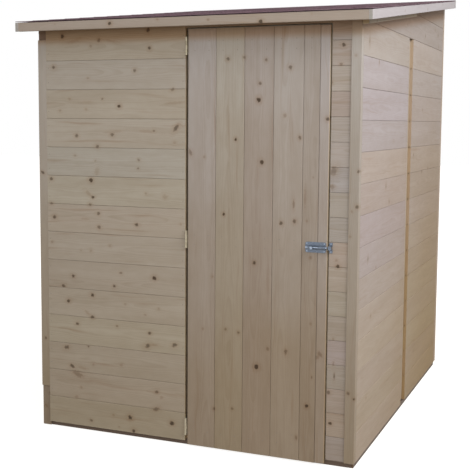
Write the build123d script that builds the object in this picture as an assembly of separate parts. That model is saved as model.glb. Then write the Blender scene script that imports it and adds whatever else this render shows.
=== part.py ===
from build123d import *
import math
import os

# Lean-to garden shed in boarded timber panels, in millimetres.
# The door faces -Y, +Z is up, and the origin is on the ground under the middle of the roof.

# Walls, measured over the cladding
wall_width = 1586.0
wall_depth = 1990.0

# Roof: one slope that rises from the door to the back
roof_pitch = 7.6
side_overhang = 65.0
front_overhang = 90.0
fascia_thickness = 16.0
fascia_height = 40.0
side_fascia_height = 41.0
fascia_above_side_panels = 24.0
deck_thickness = 16.0
covering_thickness = 7.0
covering_thin_edge = 3.0
course_exposure = 145.0
roof_batten_width = 28.0
roof_batten_height = 44.0
roof_batten_gap = 4.0
eaves_batten_lengths = (723.0, 263.0)
eaves_batten_to_wall = 1.0

# Timber sections
board_thickness = 16.0
stud_depth = 28.0
stud_width = 44.0
rail_height = 44.0
joint_stud_width = 72.0
joint_stud_cover = 22.0

# Floor
bearer_height = 30.0
bearer_width = 45.0
bearer_count = 5
floor_thickness = 16.0
floor_setback = 22.0
cladding_foot = 25.0

# Front wall, from the right corner to the left
corner_post_width = 45.0
corner_post_depth = 30.0
strip_width = 84.0
strip_recess = 6.0
strip_foot = 26.0
latch_gap = 6.0
door_width = 661.0
hinge_gap = 12.0
left_post_setback = 8.0
left_post_foot = 3.0
corner_trim_foot = 202.0
corner_trim_below_fascia_top = 75.0
stop_overlap = 15.0

# Side and rear panels
side_panel_top = 1938.0
side_joint_offset = 22.0
mid_rail_center = 971.0

# Door
door_foot = 8.0
door_below_fascia_top = 45.5
door_clearance = 6.0
ledge_height = 93.0
ledge_thickness = 22.0
ledge_end_clearance = 8.0
brace_width = 70.0
brace_seat_gap = 0.3
hinge_length = 80.0
hinge_below_door_top = 75.0
hinge_above_door_foot = 86.0
ledge_above_floor = 6.0
head_rail_overlap = 18.0

# Hinges
barrel_radius = 5.0
barrel_proud = 5.5
hinge_pin_radius = 2.2
hinge_pin_clearance = 0.3
knuckle_gap = 0.5
leaf_thickness = 2.0
leaf_inset = 1.0
leaf_width = 24.0

# Barrel bolt
bolt_center = 968.0
bolt_plate_length = 92.0
bolt_plate_height = 46.0
bolt_plate_thickness = 2.0
bolt_plate_corner = 7.0
bolt_plate_to_edge = 6.0
bolt_rod_radius = 5.0
bolt_rod_clearance = 0.4
bolt_rod_above_plate = 1.0
bolt_rod_length = 98.0
bolt_rod_end_bevel = 1.2
bolt_rest_gap = 6.0
bolt_throw = 22.0
bolt_saddle_from_plate_end = 14.0
bolt_saddle_wall = 2.6
bolt_knob_radius = 4.0
bolt_knob_reach = 16.0
bolt_knob_head_radius = 6.0
bolt_knob_head_length = 6.0
bolt_knob_from_tip = 66.0
bolt_slot_clearance = 1.0
keeper_length = 15.0
keeper_set_in = 1.0
keeper_thickness = 2.0
keeper_clearance = 1.5
keeper_bend = 1.5

# Places worked out from the sizes above
right_x = wall_width / 2
left_x = -right_x
depth_over_roof = wall_depth + front_overhang
front_y = front_overhang - depth_over_roof / 2
rear_y = front_y + wall_depth
roof_side_x = right_x + side_overhang
deck_side_x = roof_side_x - fascia_thickness
roof_front_y = front_y - front_overhang
deck_front_y = roof_front_y + fascia_thickness
roof_slope = math.tan(math.radians(roof_pitch))
deck_rise = deck_thickness / math.cos(math.radians(roof_pitch))
fascia_top = side_panel_top + fascia_above_side_panels
door_top = fascia_top - door_below_fascia_top
corner_trim_top = fascia_top - corner_trim_below_fascia_top
deck_top_front = fascia_top + roof_slope * fascia_thickness
tall = fascia_top + wall_depth

post_left_x = right_x - corner_post_width
strip_left_x = post_left_x - strip_width
door_right_x = strip_left_x - latch_gap
door_left_x = door_right_x - door_width
panel_right_x = door_left_x - hinge_gap
panel_left_x = left_x + corner_post_width
jamb_left_x = door_right_x - stop_overlap
jamb_front_y = front_y + strip_recess + board_thickness
floor_top = bearer_height + floor_thickness
floor_front_y = front_y + floor_setback
floor_side_x = right_x - board_thickness
floor_rear_y = rear_y - board_thickness
side_front_y = front_y + corner_post_depth
rear_frame_y = floor_rear_y - stud_depth
side_joint_y = (front_y + rear_y) / 2 + side_joint_offset
header_foot = door_top - head_rail_overlap
hinge_centers = {
    "top": door_top - hinge_below_door_top,
    "middle": mid_rail_center,
    "bottom": door_foot + hinge_above_door_foot,
}
hinge_x = (door_left_x + panel_right_x) / 2
hinge_y = front_y - barrel_proud
bolt_axis_y = front_y - bolt_plate_thickness - bolt_rod_above_plate - bolt_rod_radius


def deck_under(y):
    """Height of the roof deck's underside at depth y."""
    return deck_top_front - deck_rise + roof_slope * (y - deck_front_y)


def block(x0, x1, y0, y1, z0, z1):
    """A squared piece of timber between two corners."""
    center = Pos((x0 + x1) / 2, (y0 + y1) / 2, (z0 + z1) / 2)
    return center * Box(x1 - x0, y1 - y0, z1 - z0)


def rectangle(u0, u1, v0, v1):
    """A flat rectangle between two corners."""
    return Pos((u0 + u1) / 2, (v0 + v1) / 2) * Rectangle(u1 - u0, v1 - v0)


def thick_in_y(outline, y0, y1):
    """Gives an outline drawn in X and Z its thickness from y0 to y1."""
    return extrude(Plane.XZ.offset(-y1) * outline, amount=y1 - y0)


def thick_in_x(outline, x0, x1):
    """Gives an outline drawn in Y and Z its thickness from x0 to x1."""
    return extrude(Plane.YZ.offset(x0) * outline, amount=x1 - x0)


def sloped_bar(x0, x1, y0, y1, below_top, height):
    """A bar that follows the roof, its top face lying below_top under the deck's underside."""
    top_0 = deck_under(y0) - below_top
    top_1 = deck_under(y1) - below_top
    outline = Polygon((y0, top_0 - height), (y1, top_1 - height), (y1, top_1), (y0, top_0), align=None)
    return thick_in_x(outline, x0, x1)


above_roof = thick_in_x(
    Polygon(
        (front_y - wall_depth, deck_under(front_y - wall_depth)),
        (rear_y + wall_depth, deck_under(rear_y + wall_depth)),
        (rear_y + wall_depth, tall),
        (front_y - wall_depth, tall),
        align=None,
    ),
    left_x - wall_width,
    right_x + wall_width,
)


def under_roof(piece):
    """Cuts a piece off along the underside of the roof deck."""
    return piece - above_roof


floor_space = block(-floor_side_x, floor_side_x, floor_front_y, floor_rear_y, 0, floor_top)


def panel_frame(u0, u1, top, first_stud, last_stud):
    """Outline of a panel's frame: two studs with a bottom, a middle and a top rail."""
    inner_0 = u0 + first_stud
    inner_1 = u1 - last_stud
    mid_foot = mid_rail_center - rail_height / 2
    lower_bay = rectangle(inner_0, inner_1, floor_top + rail_height, mid_foot)
    upper_bay = rectangle(inner_0, inner_1, mid_foot + rail_height, top - rail_height)
    return rectangle(u0, u1, floor_top, top) - lower_bay - upper_bay


def floor_pieces():
    """The boarded floor and the bearers that it lies on, round its edge and across it."""
    deck = block(-floor_side_x, floor_side_x, floor_front_y, floor_rear_y, bearer_height, floor_top)
    pitch = (floor_rear_y - floor_front_y - bearer_width) / (bearer_count - 1)
    edge_in_x = floor_side_x - bearer_width
    bearers = []
    for index in range(bearer_count):
        y0 = floor_front_y + index * pitch
        half_x = floor_side_x if index in (0, bearer_count - 1) else edge_in_x
        bearers.append(block(-half_x, half_x, y0, y0 + bearer_width, 0, bearer_height))
    edge_front_y = floor_front_y + bearer_width
    edge_rear_y = floor_rear_y - bearer_width
    for x0, x1 in ((-floor_side_x, -edge_in_x), (edge_in_x, floor_side_x)):
        bearers.append(block(x0, x1, edge_front_y, edge_rear_y, 0, bearer_height))
    return {"floor_deck": deck, "floor_bearers": Compound(bearers)}


def front_left_pieces():
    """The fixed panel beside the door, with its corner post and cover strip."""
    frame_y = front_y + board_thickness
    frame_top = deck_under(frame_y)
    cladding = block(panel_left_x, panel_right_x, front_y, frame_y, cladding_foot, tall)
    frame_outline = panel_frame(panel_left_x, panel_right_x, frame_top, stud_width, stud_width)
    frame = thick_in_y(frame_outline, frame_y, frame_y + stud_depth)
    post_y = front_y + left_post_setback
    post = block(left_x, panel_left_x, post_y, side_front_y, left_post_foot, tall) - floor_space
    trim = block(left_x, panel_left_x, front_y, post_y, corner_trim_foot, corner_trim_top)
    return {
        "front_left_cladding": under_roof(cladding),
        "front_left_frame": frame,
        "front_left_corner_post": under_roof(post),
        "front_left_corner_trim": trim,
    }


def front_right_pieces():
    """The narrow boarded strip beside the door's free edge, and the corner post."""
    strip_y = front_y + strip_recess
    cladding = block(strip_left_x, post_left_x, strip_y, jamb_front_y, strip_foot, tall)
    frame_back_y = jamb_front_y + stud_depth
    jamb = block(jamb_left_x, jamb_left_x + stud_width, jamb_front_y, frame_back_y, floor_top, tall)
    backing = block(post_left_x - stud_width, post_left_x, jamb_front_y, frame_back_y, floor_top, tall)
    frame = jamb + backing
    for rail_z in (floor_top, mid_rail_center, side_panel_top - rail_height):
        rail_end_x = post_left_x - stud_width
        frame += block(
            jamb_left_x + stud_width, rail_end_x, jamb_front_y, frame_back_y, rail_z, rail_z + rail_height
        )
    post = block(post_left_x, right_x, front_y, side_front_y, cladding_foot, tall) - floor_space
    return {
        "front_right_cladding": under_roof(cladding),
        "front_right_frame": under_roof(frame),
        "front_right_corner_post": under_roof(post),
    }


def door_head_pieces():
    """The rail that the door shuts against at its top, and the board in front of it."""
    board_y = front_y + board_thickness
    board_foot = door_top + door_clearance
    rail_back_y = jamb_front_y + stud_depth
    rail = block(panel_right_x, jamb_left_x, jamb_front_y, rail_back_y, header_foot, tall)
    rail += block(panel_right_x, jamb_left_x, board_y, jamb_front_y, board_foot, tall)
    board = block(panel_right_x, strip_left_x, front_y, board_y, board_foot, tall)
    return {"door_head_rail": under_roof(rail), "door_head_board": under_roof(board)}


def side_wall_pieces(side, outer_x):
    """One side wall: two boarded panels, bare joint studs between them, and the gable."""
    inward = -1 if outer_x > 0 else 1
    clad_in_x = outer_x + inward * board_thickness
    frame_in_x = clad_in_x + inward * stud_depth
    clad_x = sorted((outer_x, clad_in_x))
    frame_x = sorted((clad_in_x, frame_in_x))
    bare = joint_stud_width - joint_stud_cover
    front_outline = panel_frame(side_front_y, side_joint_y, side_panel_top, stud_width, joint_stud_width)
    rear_outline = panel_frame(side_joint_y, rear_frame_y, side_panel_top, joint_stud_width, stud_width)
    front_clad = block(*clad_x, side_front_y, side_joint_y - bare, cladding_foot, side_panel_top)
    rear_clad = block(*clad_x, side_joint_y + bare, rear_frame_y, cladding_foot, side_panel_top)
    gable = block(*clad_x, side_front_y, rear_frame_y, side_panel_top, tall)
    rail_y = side_front_y + (side_panel_top + rail_height - deck_under(side_front_y)) / roof_slope
    rail = sloped_bar(*frame_x, rail_y, rear_frame_y, 0, rail_height)
    return {
        f"{side}_front_cladding": front_clad,
        f"{side}_front_frame": thick_in_x(front_outline, *frame_x),
        f"{side}_rear_cladding": rear_clad,
        f"{side}_rear_frame": thick_in_x(rear_outline, *frame_x),
        f"{side}_gable_cladding": under_roof(gable),
        f"{side}_gable_rail": rail,
    }


def rear_wall_pieces():
    """The back wall: two panels with bare joint studs between them, up to the roof."""
    bare = joint_stud_width - joint_stud_cover
    top = deck_under(rear_frame_y)
    pieces = {}
    for side, outer, inward in (("left", left_x, 1), ("right", right_x, -1)):
        clad_span = sorted((outer, -inward * bare))
        cladding = block(*clad_span, floor_rear_y, rear_y, cladding_foot, tall)
        if side == "left":
            outline = panel_frame(outer, 0, top, stud_width, joint_stud_width)
        else:
            outline = panel_frame(0, outer, top, joint_stud_width, stud_width)
        stud_span = sorted((outer, outer + inward * stud_width))
        stud_foot = block(*stud_span, rear_frame_y, floor_rear_y, cladding_foot, floor_top)
        frame = thick_in_y(outline, rear_frame_y, floor_rear_y) + (stud_foot - floor_space)
        pieces[f"rear_{side}_cladding"] = under_roof(cladding)
        pieces[f"rear_{side}_frame"] = under_roof(frame)
    return pieces


def roof_pieces():
    """Deck in two halves, battens under it and outside the walls, shingle courses and fascias."""
    deck_joint_y = (deck_front_y + rear_y) / 2
    front_deck = sloped_bar(-deck_side_x, deck_side_x, deck_front_y, deck_joint_y, -deck_rise, deck_rise)
    rear_deck = sloped_bar(-deck_side_x, deck_side_x, deck_joint_y, rear_y, -deck_rise, deck_rise)
    batten_side_x = right_x - board_thickness - stud_depth
    half_gap = roof_batten_gap / 2
    batten_starts = (
        jamb_front_y + stud_depth + roof_batten_gap,
        deck_joint_y - half_gap - roof_batten_width,
        deck_joint_y + half_gap,
        rear_frame_y - roof_batten_gap - roof_batten_width,
    )
    battens = []
    for y0 in batten_starts:
        y1 = y0 + roof_batten_width
        battens.append(sloped_bar(-batten_side_x, batten_side_x, y0, y1, 0, roof_batten_height))
    eaves_in_x = right_x + eaves_batten_to_wall
    eaves_out_x = eaves_in_x + roof_batten_width
    for x0, x1 in ((-eaves_out_x, -eaves_in_x), (eaves_in_x, eaves_out_x)):
        y0 = front_y
        for length in eaves_batten_lengths:
            battens.append(sloped_bar(x0, x1, y0, y0 + length, 0, roof_batten_height))
            y0 += length + roof_batten_gap
    front_fascia = block(
        -deck_side_x, deck_side_x, roof_front_y, deck_front_y, fascia_top - fascia_height, fascia_top
    )
    side_fascias = {}
    for side, x0 in (("left", -roof_side_x), ("right", deck_side_x)):
        side_fascias[f"{side}_fascia"] = sloped_bar(
            x0, x0 + fascia_thickness, roof_front_y, rear_y, -deck_rise, side_fascia_height
        )
    return {
        "roof_deck_front": front_deck,
        "roof_deck_rear": rear_deck,
        "roof_battens": Compound(battens),
        "roof_shingles": shingle_courses(),
        "front_fascia": front_fascia,
        **side_fascias,
    }


def shingle_courses():
    """Felt shingles as one sheet of overlapping courses, laid over the deck and the fascias."""
    run = rear_y - roof_front_y
    count = math.ceil(run / course_exposure)
    points = [(rear_y, deck_under(rear_y) + deck_rise), (roof_front_y, fascia_top)]
    points.reverse()
    top = []
    for index in range(count):
        y0 = roof_front_y + index * course_exposure
        y1 = min(y0 + course_exposure, rear_y)
        worn = covering_thickness - (covering_thickness - covering_thin_edge) * (y1 - y0) / course_exposure
        top.append((y0, deck_under(y0) + deck_rise + covering_thickness))
        top.append((y1, deck_under(y1) + deck_rise + worn))
    top.reverse()
    return thick_in_x(Polygon(*points, *top, align=None), -roof_side_x, roof_side_x)


def hinge_round(radius, z0, z1):
    """A round length of the hinge about its pin."""
    return Pos(hinge_x, hinge_y, (z0 + z1) / 2) * Cylinder(radius, z1 - z0)


def hinge_leaf(x0, z0, z1, knuckle_spans):
    """A hinge leaf let into the gap, with the barrel sections that belong to it."""
    leaf_y = front_y + leaf_inset
    x1 = x0 + leaf_thickness
    leaf = block(x0, x1, leaf_y, leaf_y + leaf_width, z0, z1)
    for low, high in knuckle_spans:
        leaf += block(x0, x1, hinge_y, leaf_y, low, high)
        leaf += hinge_round(barrel_radius, low, high)
    return leaf


def hinge_pieces():
    """Three butt hinges in the gap between the fixed panel and the door."""
    fixed = []
    moving = []
    third = (hinge_length - 2 * knuckle_gap) / 3
    hole_radius = hinge_pin_radius + hinge_pin_clearance
    for center in hinge_centers.values():
        z0 = center - hinge_length / 2
        z1 = center + hinge_length / 2
        outer_spans = ((z0, z0 + third), (z1 - third, z1))
        inner_span = (z0 + third + knuckle_gap, z1 - third - knuckle_gap)
        fixed_leaf = hinge_leaf(panel_right_x, z0, z1, outer_spans)
        fixed.append(fixed_leaf + hinge_round(hinge_pin_radius, z0, z1))
        door_leaf = hinge_leaf(door_left_x - leaf_thickness, z0, z1, (inner_span,))
        moving.append(door_leaf - hinge_round(hole_radius, *inner_span))
    return {"hinge_fixed_leaves": Compound(fixed), "hinge_door_leaves": Compound(moving)}


def ledge_span(name):
    """Lowest and highest point of a door ledge, which carries the hinge of that name."""
    z0 = hinge_centers[name] - ledge_height / 2
    z0 = max(z0, floor_top + ledge_above_floor)
    return z0, z0 + ledge_height


def brace(low_name, high_name):
    """A brace that rises from the hinge side to the free side, between two ledges."""
    back_y = front_y + board_thickness
    z0 = ledge_span(low_name)[1] + brace_seat_gap
    z1 = ledge_span(high_name)[0] - brace_seat_gap
    x0 = door_left_x
    x1 = jamb_left_x - ledge_end_clearance
    outline = Polygon((x0, z0), (x0 + brace_width, z0), (x1, z1), (x1 - brace_width, z1), align=None)
    return thick_in_y(outline, back_y, back_y + ledge_thickness)


def door_pieces():
    """The boarded door with three ledges and two braces on its back."""
    back_y = front_y + board_thickness
    pieces = {"door_boards": block(door_left_x, door_right_x, front_y, back_y, door_foot, door_top)}
    for name in hinge_centers:
        z0, z1 = ledge_span(name)
        ledge_end_x = jamb_left_x - ledge_end_clearance
        pieces[f"door_ledge_{name}"] = block(
            door_left_x, ledge_end_x, back_y, back_y + ledge_thickness, z0, z1
        )
    pieces["door_brace_lower"] = brace("bottom", "middle")
    pieces["door_brace_upper"] = brace("middle", "top")
    return pieces


def rod_along_x(radius, x0, x1):
    """A round bar on the bolt's axis."""
    return Pos((x0 + x1) / 2, bolt_axis_y, bolt_center) * Rot(0, 90, 0) * Cylinder(radius, x1 - x0)


def rod_out_of_door(radius, x, y0, y1):
    """A round bar square to the door's face, level with the bolt."""
    return Pos(x, (y0 + y1) / 2, bolt_center) * Rot(90, 0, 0) * Cylinder(radius, y1 - y0)


def bolt_saddle(x0, x1, base_y):
    """The pressed barrel that the rod slides in, flat on the plate at base_y."""
    outer = bolt_rod_radius + bolt_rod_clearance + bolt_saddle_wall
    body = rod_along_x(outer, x0, x1)
    body += block(x0, x1, bolt_axis_y, base_y, bolt_center - outer, bolt_center + outer)
    reach = outer * 2
    body -= block(x0, x1, base_y, base_y + reach, bolt_center - reach, bolt_center + reach)
    return body - rod_along_x(bolt_rod_radius + bolt_rod_clearance, x0, x1)


def knob_slot(knob_x):
    """The slot in the saddle's front that the knob runs in."""
    half = bolt_knob_radius + bolt_slot_clearance
    return block(
        knob_x - half, knob_x + bolt_throw + half, bolt_axis_y - bolt_rod_radius * 2, bolt_axis_y,
        bolt_center - half, bolt_center + half,
    )


def bolt_keeper(x0, x1, base_y):
    """A bent strap that the rod slides under, with a flange on the strip's face above and below."""
    leg_in = bolt_rod_radius + keeper_clearance
    leg_out = leg_in + keeper_thickness
    flange_end = bolt_plate_height / 2
    flange_y = base_y - keeper_thickness
    bridge_in_y = bolt_axis_y - leg_in
    bridge_y = bridge_in_y - keeper_thickness
    half_outline = (
        (flange_y, flange_end), (flange_y, leg_out), (bridge_y, leg_out),
        (bridge_y, -leg_out), (flange_y, -leg_out), (flange_y, -flange_end),
    )
    back_outline = (
        (base_y, -flange_end), (base_y, -leg_in), (bridge_in_y, -leg_in),
        (bridge_in_y, leg_in), (base_y, leg_in), (base_y, flange_end),
    )
    points = [(y, bolt_center + z) for y, z in half_outline + back_outline]
    strap = thick_in_x(Polygon(*points, align=None), x0, x1)
    bends = strap.edges().filter_by(Axis.X).group_by(Axis.Y)[0]
    return fillet(bends, keeper_bend)


def bolt_pieces():
    """The barrel bolt: plate and saddle on the door, sliding rod with its knob, and keeper."""
    plate_x1 = door_right_x - bolt_plate_to_edge
    plate_x0 = plate_x1 - bolt_plate_length
    plate_outline = Pos((plate_x0 + plate_x1) / 2, bolt_center) * RectangleRounded(
        bolt_plate_length, bolt_plate_height, bolt_plate_corner
    )
    plate_y = front_y - bolt_plate_thickness
    keeper_x0 = strip_left_x + keeper_set_in
    tip_x = keeper_x0 - bolt_rest_gap
    knob_x = tip_x - bolt_knob_from_tip
    housing = thick_in_y(plate_outline, plate_y, front_y)
    housing += bolt_saddle(plate_x0 + bolt_saddle_from_plate_end, plate_x1, plate_y)
    housing -= knob_slot(knob_x)
    rod = rod_along_x(bolt_rod_radius, tip_x - bolt_rod_length, tip_x)
    rod = chamfer(rod.edges().filter_by(GeomType.CIRCLE), bolt_rod_end_bevel)
    knob_end_y = bolt_axis_y - bolt_knob_reach
    rod += rod_out_of_door(bolt_knob_radius, knob_x, knob_end_y, bolt_axis_y)
    rod += rod_out_of_door(
        bolt_knob_head_radius, knob_x, knob_end_y - bolt_knob_head_length, knob_end_y
    )
    keeper = bolt_keeper(keeper_x0, keeper_x0 + keeper_length, front_y + strip_recess)
    return {"bolt_housing": housing, "bolt_rod": rod, "bolt_keeper": keeper}


def main():
    os.makedirs("parts", exist_ok=True)
    groups = (
        floor_pieces(),
        front_left_pieces(),
        front_right_pieces(),
        door_head_pieces(),
        side_wall_pieces("right", right_x),
        side_wall_pieces("left", left_x),
        rear_wall_pieces(),
        roof_pieces(),
        hinge_pieces(),
        door_pieces(),
        bolt_pieces(),
    )
    for group in groups:
        for node, shape in group.items():
            export_step(shape, f"parts/{node}.step")
    print("hinge axis", hinge_x, hinge_y, "floor top", floor_top, "jamb", jamb_left_x)


main()
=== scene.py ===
import bmesh
import bpy
import math
import random
from mathutils import Matrix, Vector


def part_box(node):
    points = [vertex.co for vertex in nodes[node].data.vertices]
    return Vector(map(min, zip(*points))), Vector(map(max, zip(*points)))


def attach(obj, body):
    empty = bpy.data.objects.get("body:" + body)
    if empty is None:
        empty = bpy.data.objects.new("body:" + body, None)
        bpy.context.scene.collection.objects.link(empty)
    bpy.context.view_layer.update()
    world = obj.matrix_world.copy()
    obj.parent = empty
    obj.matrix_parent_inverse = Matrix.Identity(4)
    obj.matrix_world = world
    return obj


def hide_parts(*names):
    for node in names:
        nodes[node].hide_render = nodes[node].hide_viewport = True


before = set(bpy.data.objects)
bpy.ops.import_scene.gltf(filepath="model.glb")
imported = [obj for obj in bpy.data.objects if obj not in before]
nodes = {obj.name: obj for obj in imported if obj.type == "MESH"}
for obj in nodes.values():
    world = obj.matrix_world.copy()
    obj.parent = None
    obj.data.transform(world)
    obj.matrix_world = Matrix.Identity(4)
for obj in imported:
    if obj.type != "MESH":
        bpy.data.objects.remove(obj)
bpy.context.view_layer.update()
print("frame loaded")

mm = 0.001
white = (1.0, 1.0, 1.0, 1.0)

roof = {"pitch": 7.6}  # degrees
deckLow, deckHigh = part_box("roof_deck_front")
roofSlope = math.tan(math.radians(roof["pitch"]))


def deckUnder(y):
    # the height of the roof boarding's underside
    return deckLow.z + roofSlope * (y - deckLow.y)


def solid(color):
    return (*color, 1.0)


# small helpers for node trees

class Wire:
    # a node's output; arithmetic on it adds Math nodes
    def __init__(self, tree, socket):
        self.tree, self.socket = tree, socket

    def __add__(self, other):
        return calc(self.tree, "ADD", self, other)

    def __sub__(self, other):
        return calc(self.tree, "SUBTRACT", self, other)

    def __mul__(self, other):
        return calc(self.tree, "MULTIPLY", self, other)

    def __truediv__(self, other):
        return calc(self.tree, "DIVIDE", self, other)

    def atLeast(self, other):
        return calc(self.tree, "MAXIMUM", self, other)

    def atMost(self, other):
        return calc(self.tree, "MINIMUM", self, other)

    def remap(self, low, high, newLow=0.0, newHigh=1.0, smooth=True):
        limits = {"From Min": low, "From Max": high, "To Min": newLow, "To Max": newHigh}
        kind = "SMOOTHSTEP" if smooth else "LINEAR"
        return placeNode(self.tree, "ShaderNodeMapRange", {"Value": self, **limits}, interpolation_type=kind)


def socketOf(sockets, name):
    # some nodes keep one socket of a name for each data type, and only one is enabled
    return next(s for s in sockets if s.name == name and s.enabled)


def feed(tree, socket, value):
    if isinstance(value, Wire):
        tree.links.new(value.socket, socket)
    elif isinstance(value, list):
        for item in value:
            feed(tree, socket, item)
    elif value is not None:
        socket.default_value = value


def addNode(tree, kind, **settings):
    node = tree.nodes.new(kind)
    for key, value in settings.items():
        setattr(node, key, value)
    return node


def placeNode(tree, kind, inputs=None, output=0, **settings):
    # gives back one output, by number or name, or all of them by name
    node = addNode(tree, kind, **settings)
    for name, value in (inputs or {}).items():
        feed(tree, socketOf(node.inputs, name), value)
    if output is None:
        return {socket.name: Wire(tree, socket) for socket in node.outputs if socket.enabled}
    return Wire(tree, socketOf(node.outputs, output) if isinstance(output, str) else node.outputs[output])


def inOrder(tree, kind, values, output=0, **settings):
    # as placeNode, for nodes whose inputs are known by their order
    node = addNode(tree, kind, **settings)
    for socket, value in zip(node.inputs, values):
        feed(tree, socket, value)
    return Wire(tree, node.outputs[output])


def calc(tree, operation, *values):
    return inOrder(tree, "ShaderNodeMath", values, operation=operation)


def vectorCalc(tree, operation, *values):
    return inOrder(tree, "ShaderNodeVectorMath", values, 1 if operation == "LENGTH" else 0, operation=operation)


def combine(tree, x=0.0, y=0.0, z=0.0):
    return inOrder(tree, "ShaderNodeCombineXYZ", (x, y, z))


def separate(tree, vector):
    node = addNode(tree, "ShaderNodeSeparateXYZ")
    feed(tree, node.inputs[0], vector)
    return [Wire(tree, socket) for socket in node.outputs]


def noiseOf(tree, vector, scale=1.0, detail=2.0, roughness=0.5, output=0):
    values = {"Vector": vector, "Scale": scale, "Detail": detail, "Roughness": roughness}
    return placeNode(tree, "ShaderNodeTexNoise", values, output)


def blendColor(tree, amount, a, b, mode="MIX"):
    node = addNode(tree, "ShaderNodeMix", data_type="RGBA", blend_type=mode)
    for number, value in ((0, amount), (6, a), (7, b)):
        feed(tree, node.inputs[number], value)
    return Wire(tree, node.outputs[2])


def readAttribute(tree, name, output="Fac"):
    return placeNode(tree, "ShaderNodeAttribute", output=output, attribute_name=name)


def objectPlace(tree):
    return placeNode(tree, "ShaderNodeTexCoord", output="Object")


socketTypes = {float: "Float", int: "Int", tuple: "Color"}


def newGroup(name, kind, inputs, outputs):
    # inputs: a default value, or the kind of socket, for each name
    tree = bpy.data.node_groups.new(name, kind)
    for label, value in inputs.items():
        plain = isinstance(value, str)
        socketType = "NodeSocket" + (value if plain else socketTypes[type(value)])
        socket = tree.interface.new_socket(name=label, in_out="INPUT", socket_type=socketType)
        if not plain:
            socket.default_value = value
    for label, value in outputs.items():
        tree.interface.new_socket(name=label, in_out="OUTPUT", socket_type="NodeSocket" + value)
    given, made = addNode(tree, "NodeGroupInput"), addNode(tree, "NodeGroupOutput")
    return tree, {socket.name: Wire(tree, socket) for socket in given.outputs}, made


def giveBack(tree, made, results):
    for name, value in results.items():
        feed(tree, made.inputs[name], value)
    return tree


def placeGroup(tree, group, inputs):
    return placeNode(tree, "ShaderNodeGroup", inputs, None, node_tree=group)


def newMaterial(name, roughness, specular=0.3, metallic=0.0):
    material = bpy.data.materials.new(name)
    material.use_nodes = True
    tree = material.node_tree
    shader = tree.nodes["Principled BSDF"]
    shader.inputs["Roughness"].default_value = roughness
    shader.inputs["Specular IOR Level"].default_value = specular
    shader.inputs["Metallic"].default_value = metallic
    return material, tree, shader


def addBump(tree, shader, height, strength, distance):
    values = {"Strength": strength, "Distance": distance, "Height": height}
    feed(tree, shader.inputs["Normal"], placeNode(tree, "ShaderNodeBump", values))


# wood
# Each board carries its own coordinates (along, across, depth) in "grain", the places of its
# knots in knot1, knot2 ..., their darkness, lean and stretch in knotShape1 ..., and its own shade in "tint".

knotSlots = 8
# core and halo: where they begin and end, in radii of the knot; pull: how far the grain parts round it
knotForm = {"core": (0.45, 1.3), "halo": (0.7, 3.0), "wobble": 1.5, "pull": -0.55, "leastRadius": 0.0004}
# aside and below: where the trunk's middle lies, in metres: its spread, its least and its wander along the board
ringForm = {
    "spacing": 0.004, "ripple": 0.9, "late": (0.25, 0.9), "fade": (0.93, 1.0), "aside": (0.16, -0.012, 0.045),
    "below": (0.09, 0.012, 0.05),
}
# fibre, broad, mottle and streak: cycles a metre along and across the board
grainForm = {
    "wobble": 95.0, "wave": 0.05, "fibre": (22.0, 900.0), "broad": (1.5, 17.0), "mottle": (14.0, 40.0),
    "streak": (2.0, 48.0), "streakFrom": (0.57, 0.82), "fibreAmount": 0.25, "mottleAmount": 0.5, "lift": 0.25,
    "halo": 0.34, "brownKnots": (0.15, 0.7), "core": 1.12, "end": 0.7,
}
# how much a board's tone, warmth and pinkness change its colours
shadeForm = {"tone": 0.03, "warmRed": 0.02, "pinkRed": 0.025, "pinkGreen": -0.02, "warmBlue": -0.08}
# back: where the browner part of the painted shade begins and ends along Y, then up the wall, with its amounts there
footForm = {
    "patchScale": 2.4, "patches": 0.4, "back": (-0.9, 1.0), "backHeight": (0.9, 1.9, 1.0, 0.25),
    "eavesFade": (0.6, 1.0),
}


def buildKnotMark():
    tree, take, made = newGroup(
        "knotMark", "ShaderNodeTree", {"Grain": "Vector", "Knot": "Vector", "Shape": "Vector", "Wobble": 0.0},
        {"Core": "Float", "Halo": "Float", "Pull": "Float"},
    )
    at = separate(tree, take["Grain"])
    knot = separate(tree, take["Knot"])
    dark, lean, stretch = separate(tree, take["Shape"])
    along, across = at[0] - knot[0], at[1] - knot[1]
    cosine, sine = (calc(tree, operation, lean) for operation in ("COSINE", "SINE"))
    length = (along * cosine + across * sine) / stretch.atLeast(0.2)
    breadth = across * cosine - along * sine
    reach = vectorCalc(tree, "LENGTH", combine(tree, length, breadth)) / knot[2].atLeast(knotForm["leastRadius"])
    uneven = reach + take["Wobble"] * knotForm["wobble"]
    near = uneven.remap(*knotForm["halo"], 1.0, 0.0)
    present = (dark * 4.0).atMost(1.0)
    return giveBack(tree, made, {
        "Core": uneven.remap(*knotForm["core"], 1.0, 0.0) * dark, "Halo": near * dark,
        "Pull": across * knotForm["pull"] * (near * present),
    })


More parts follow.
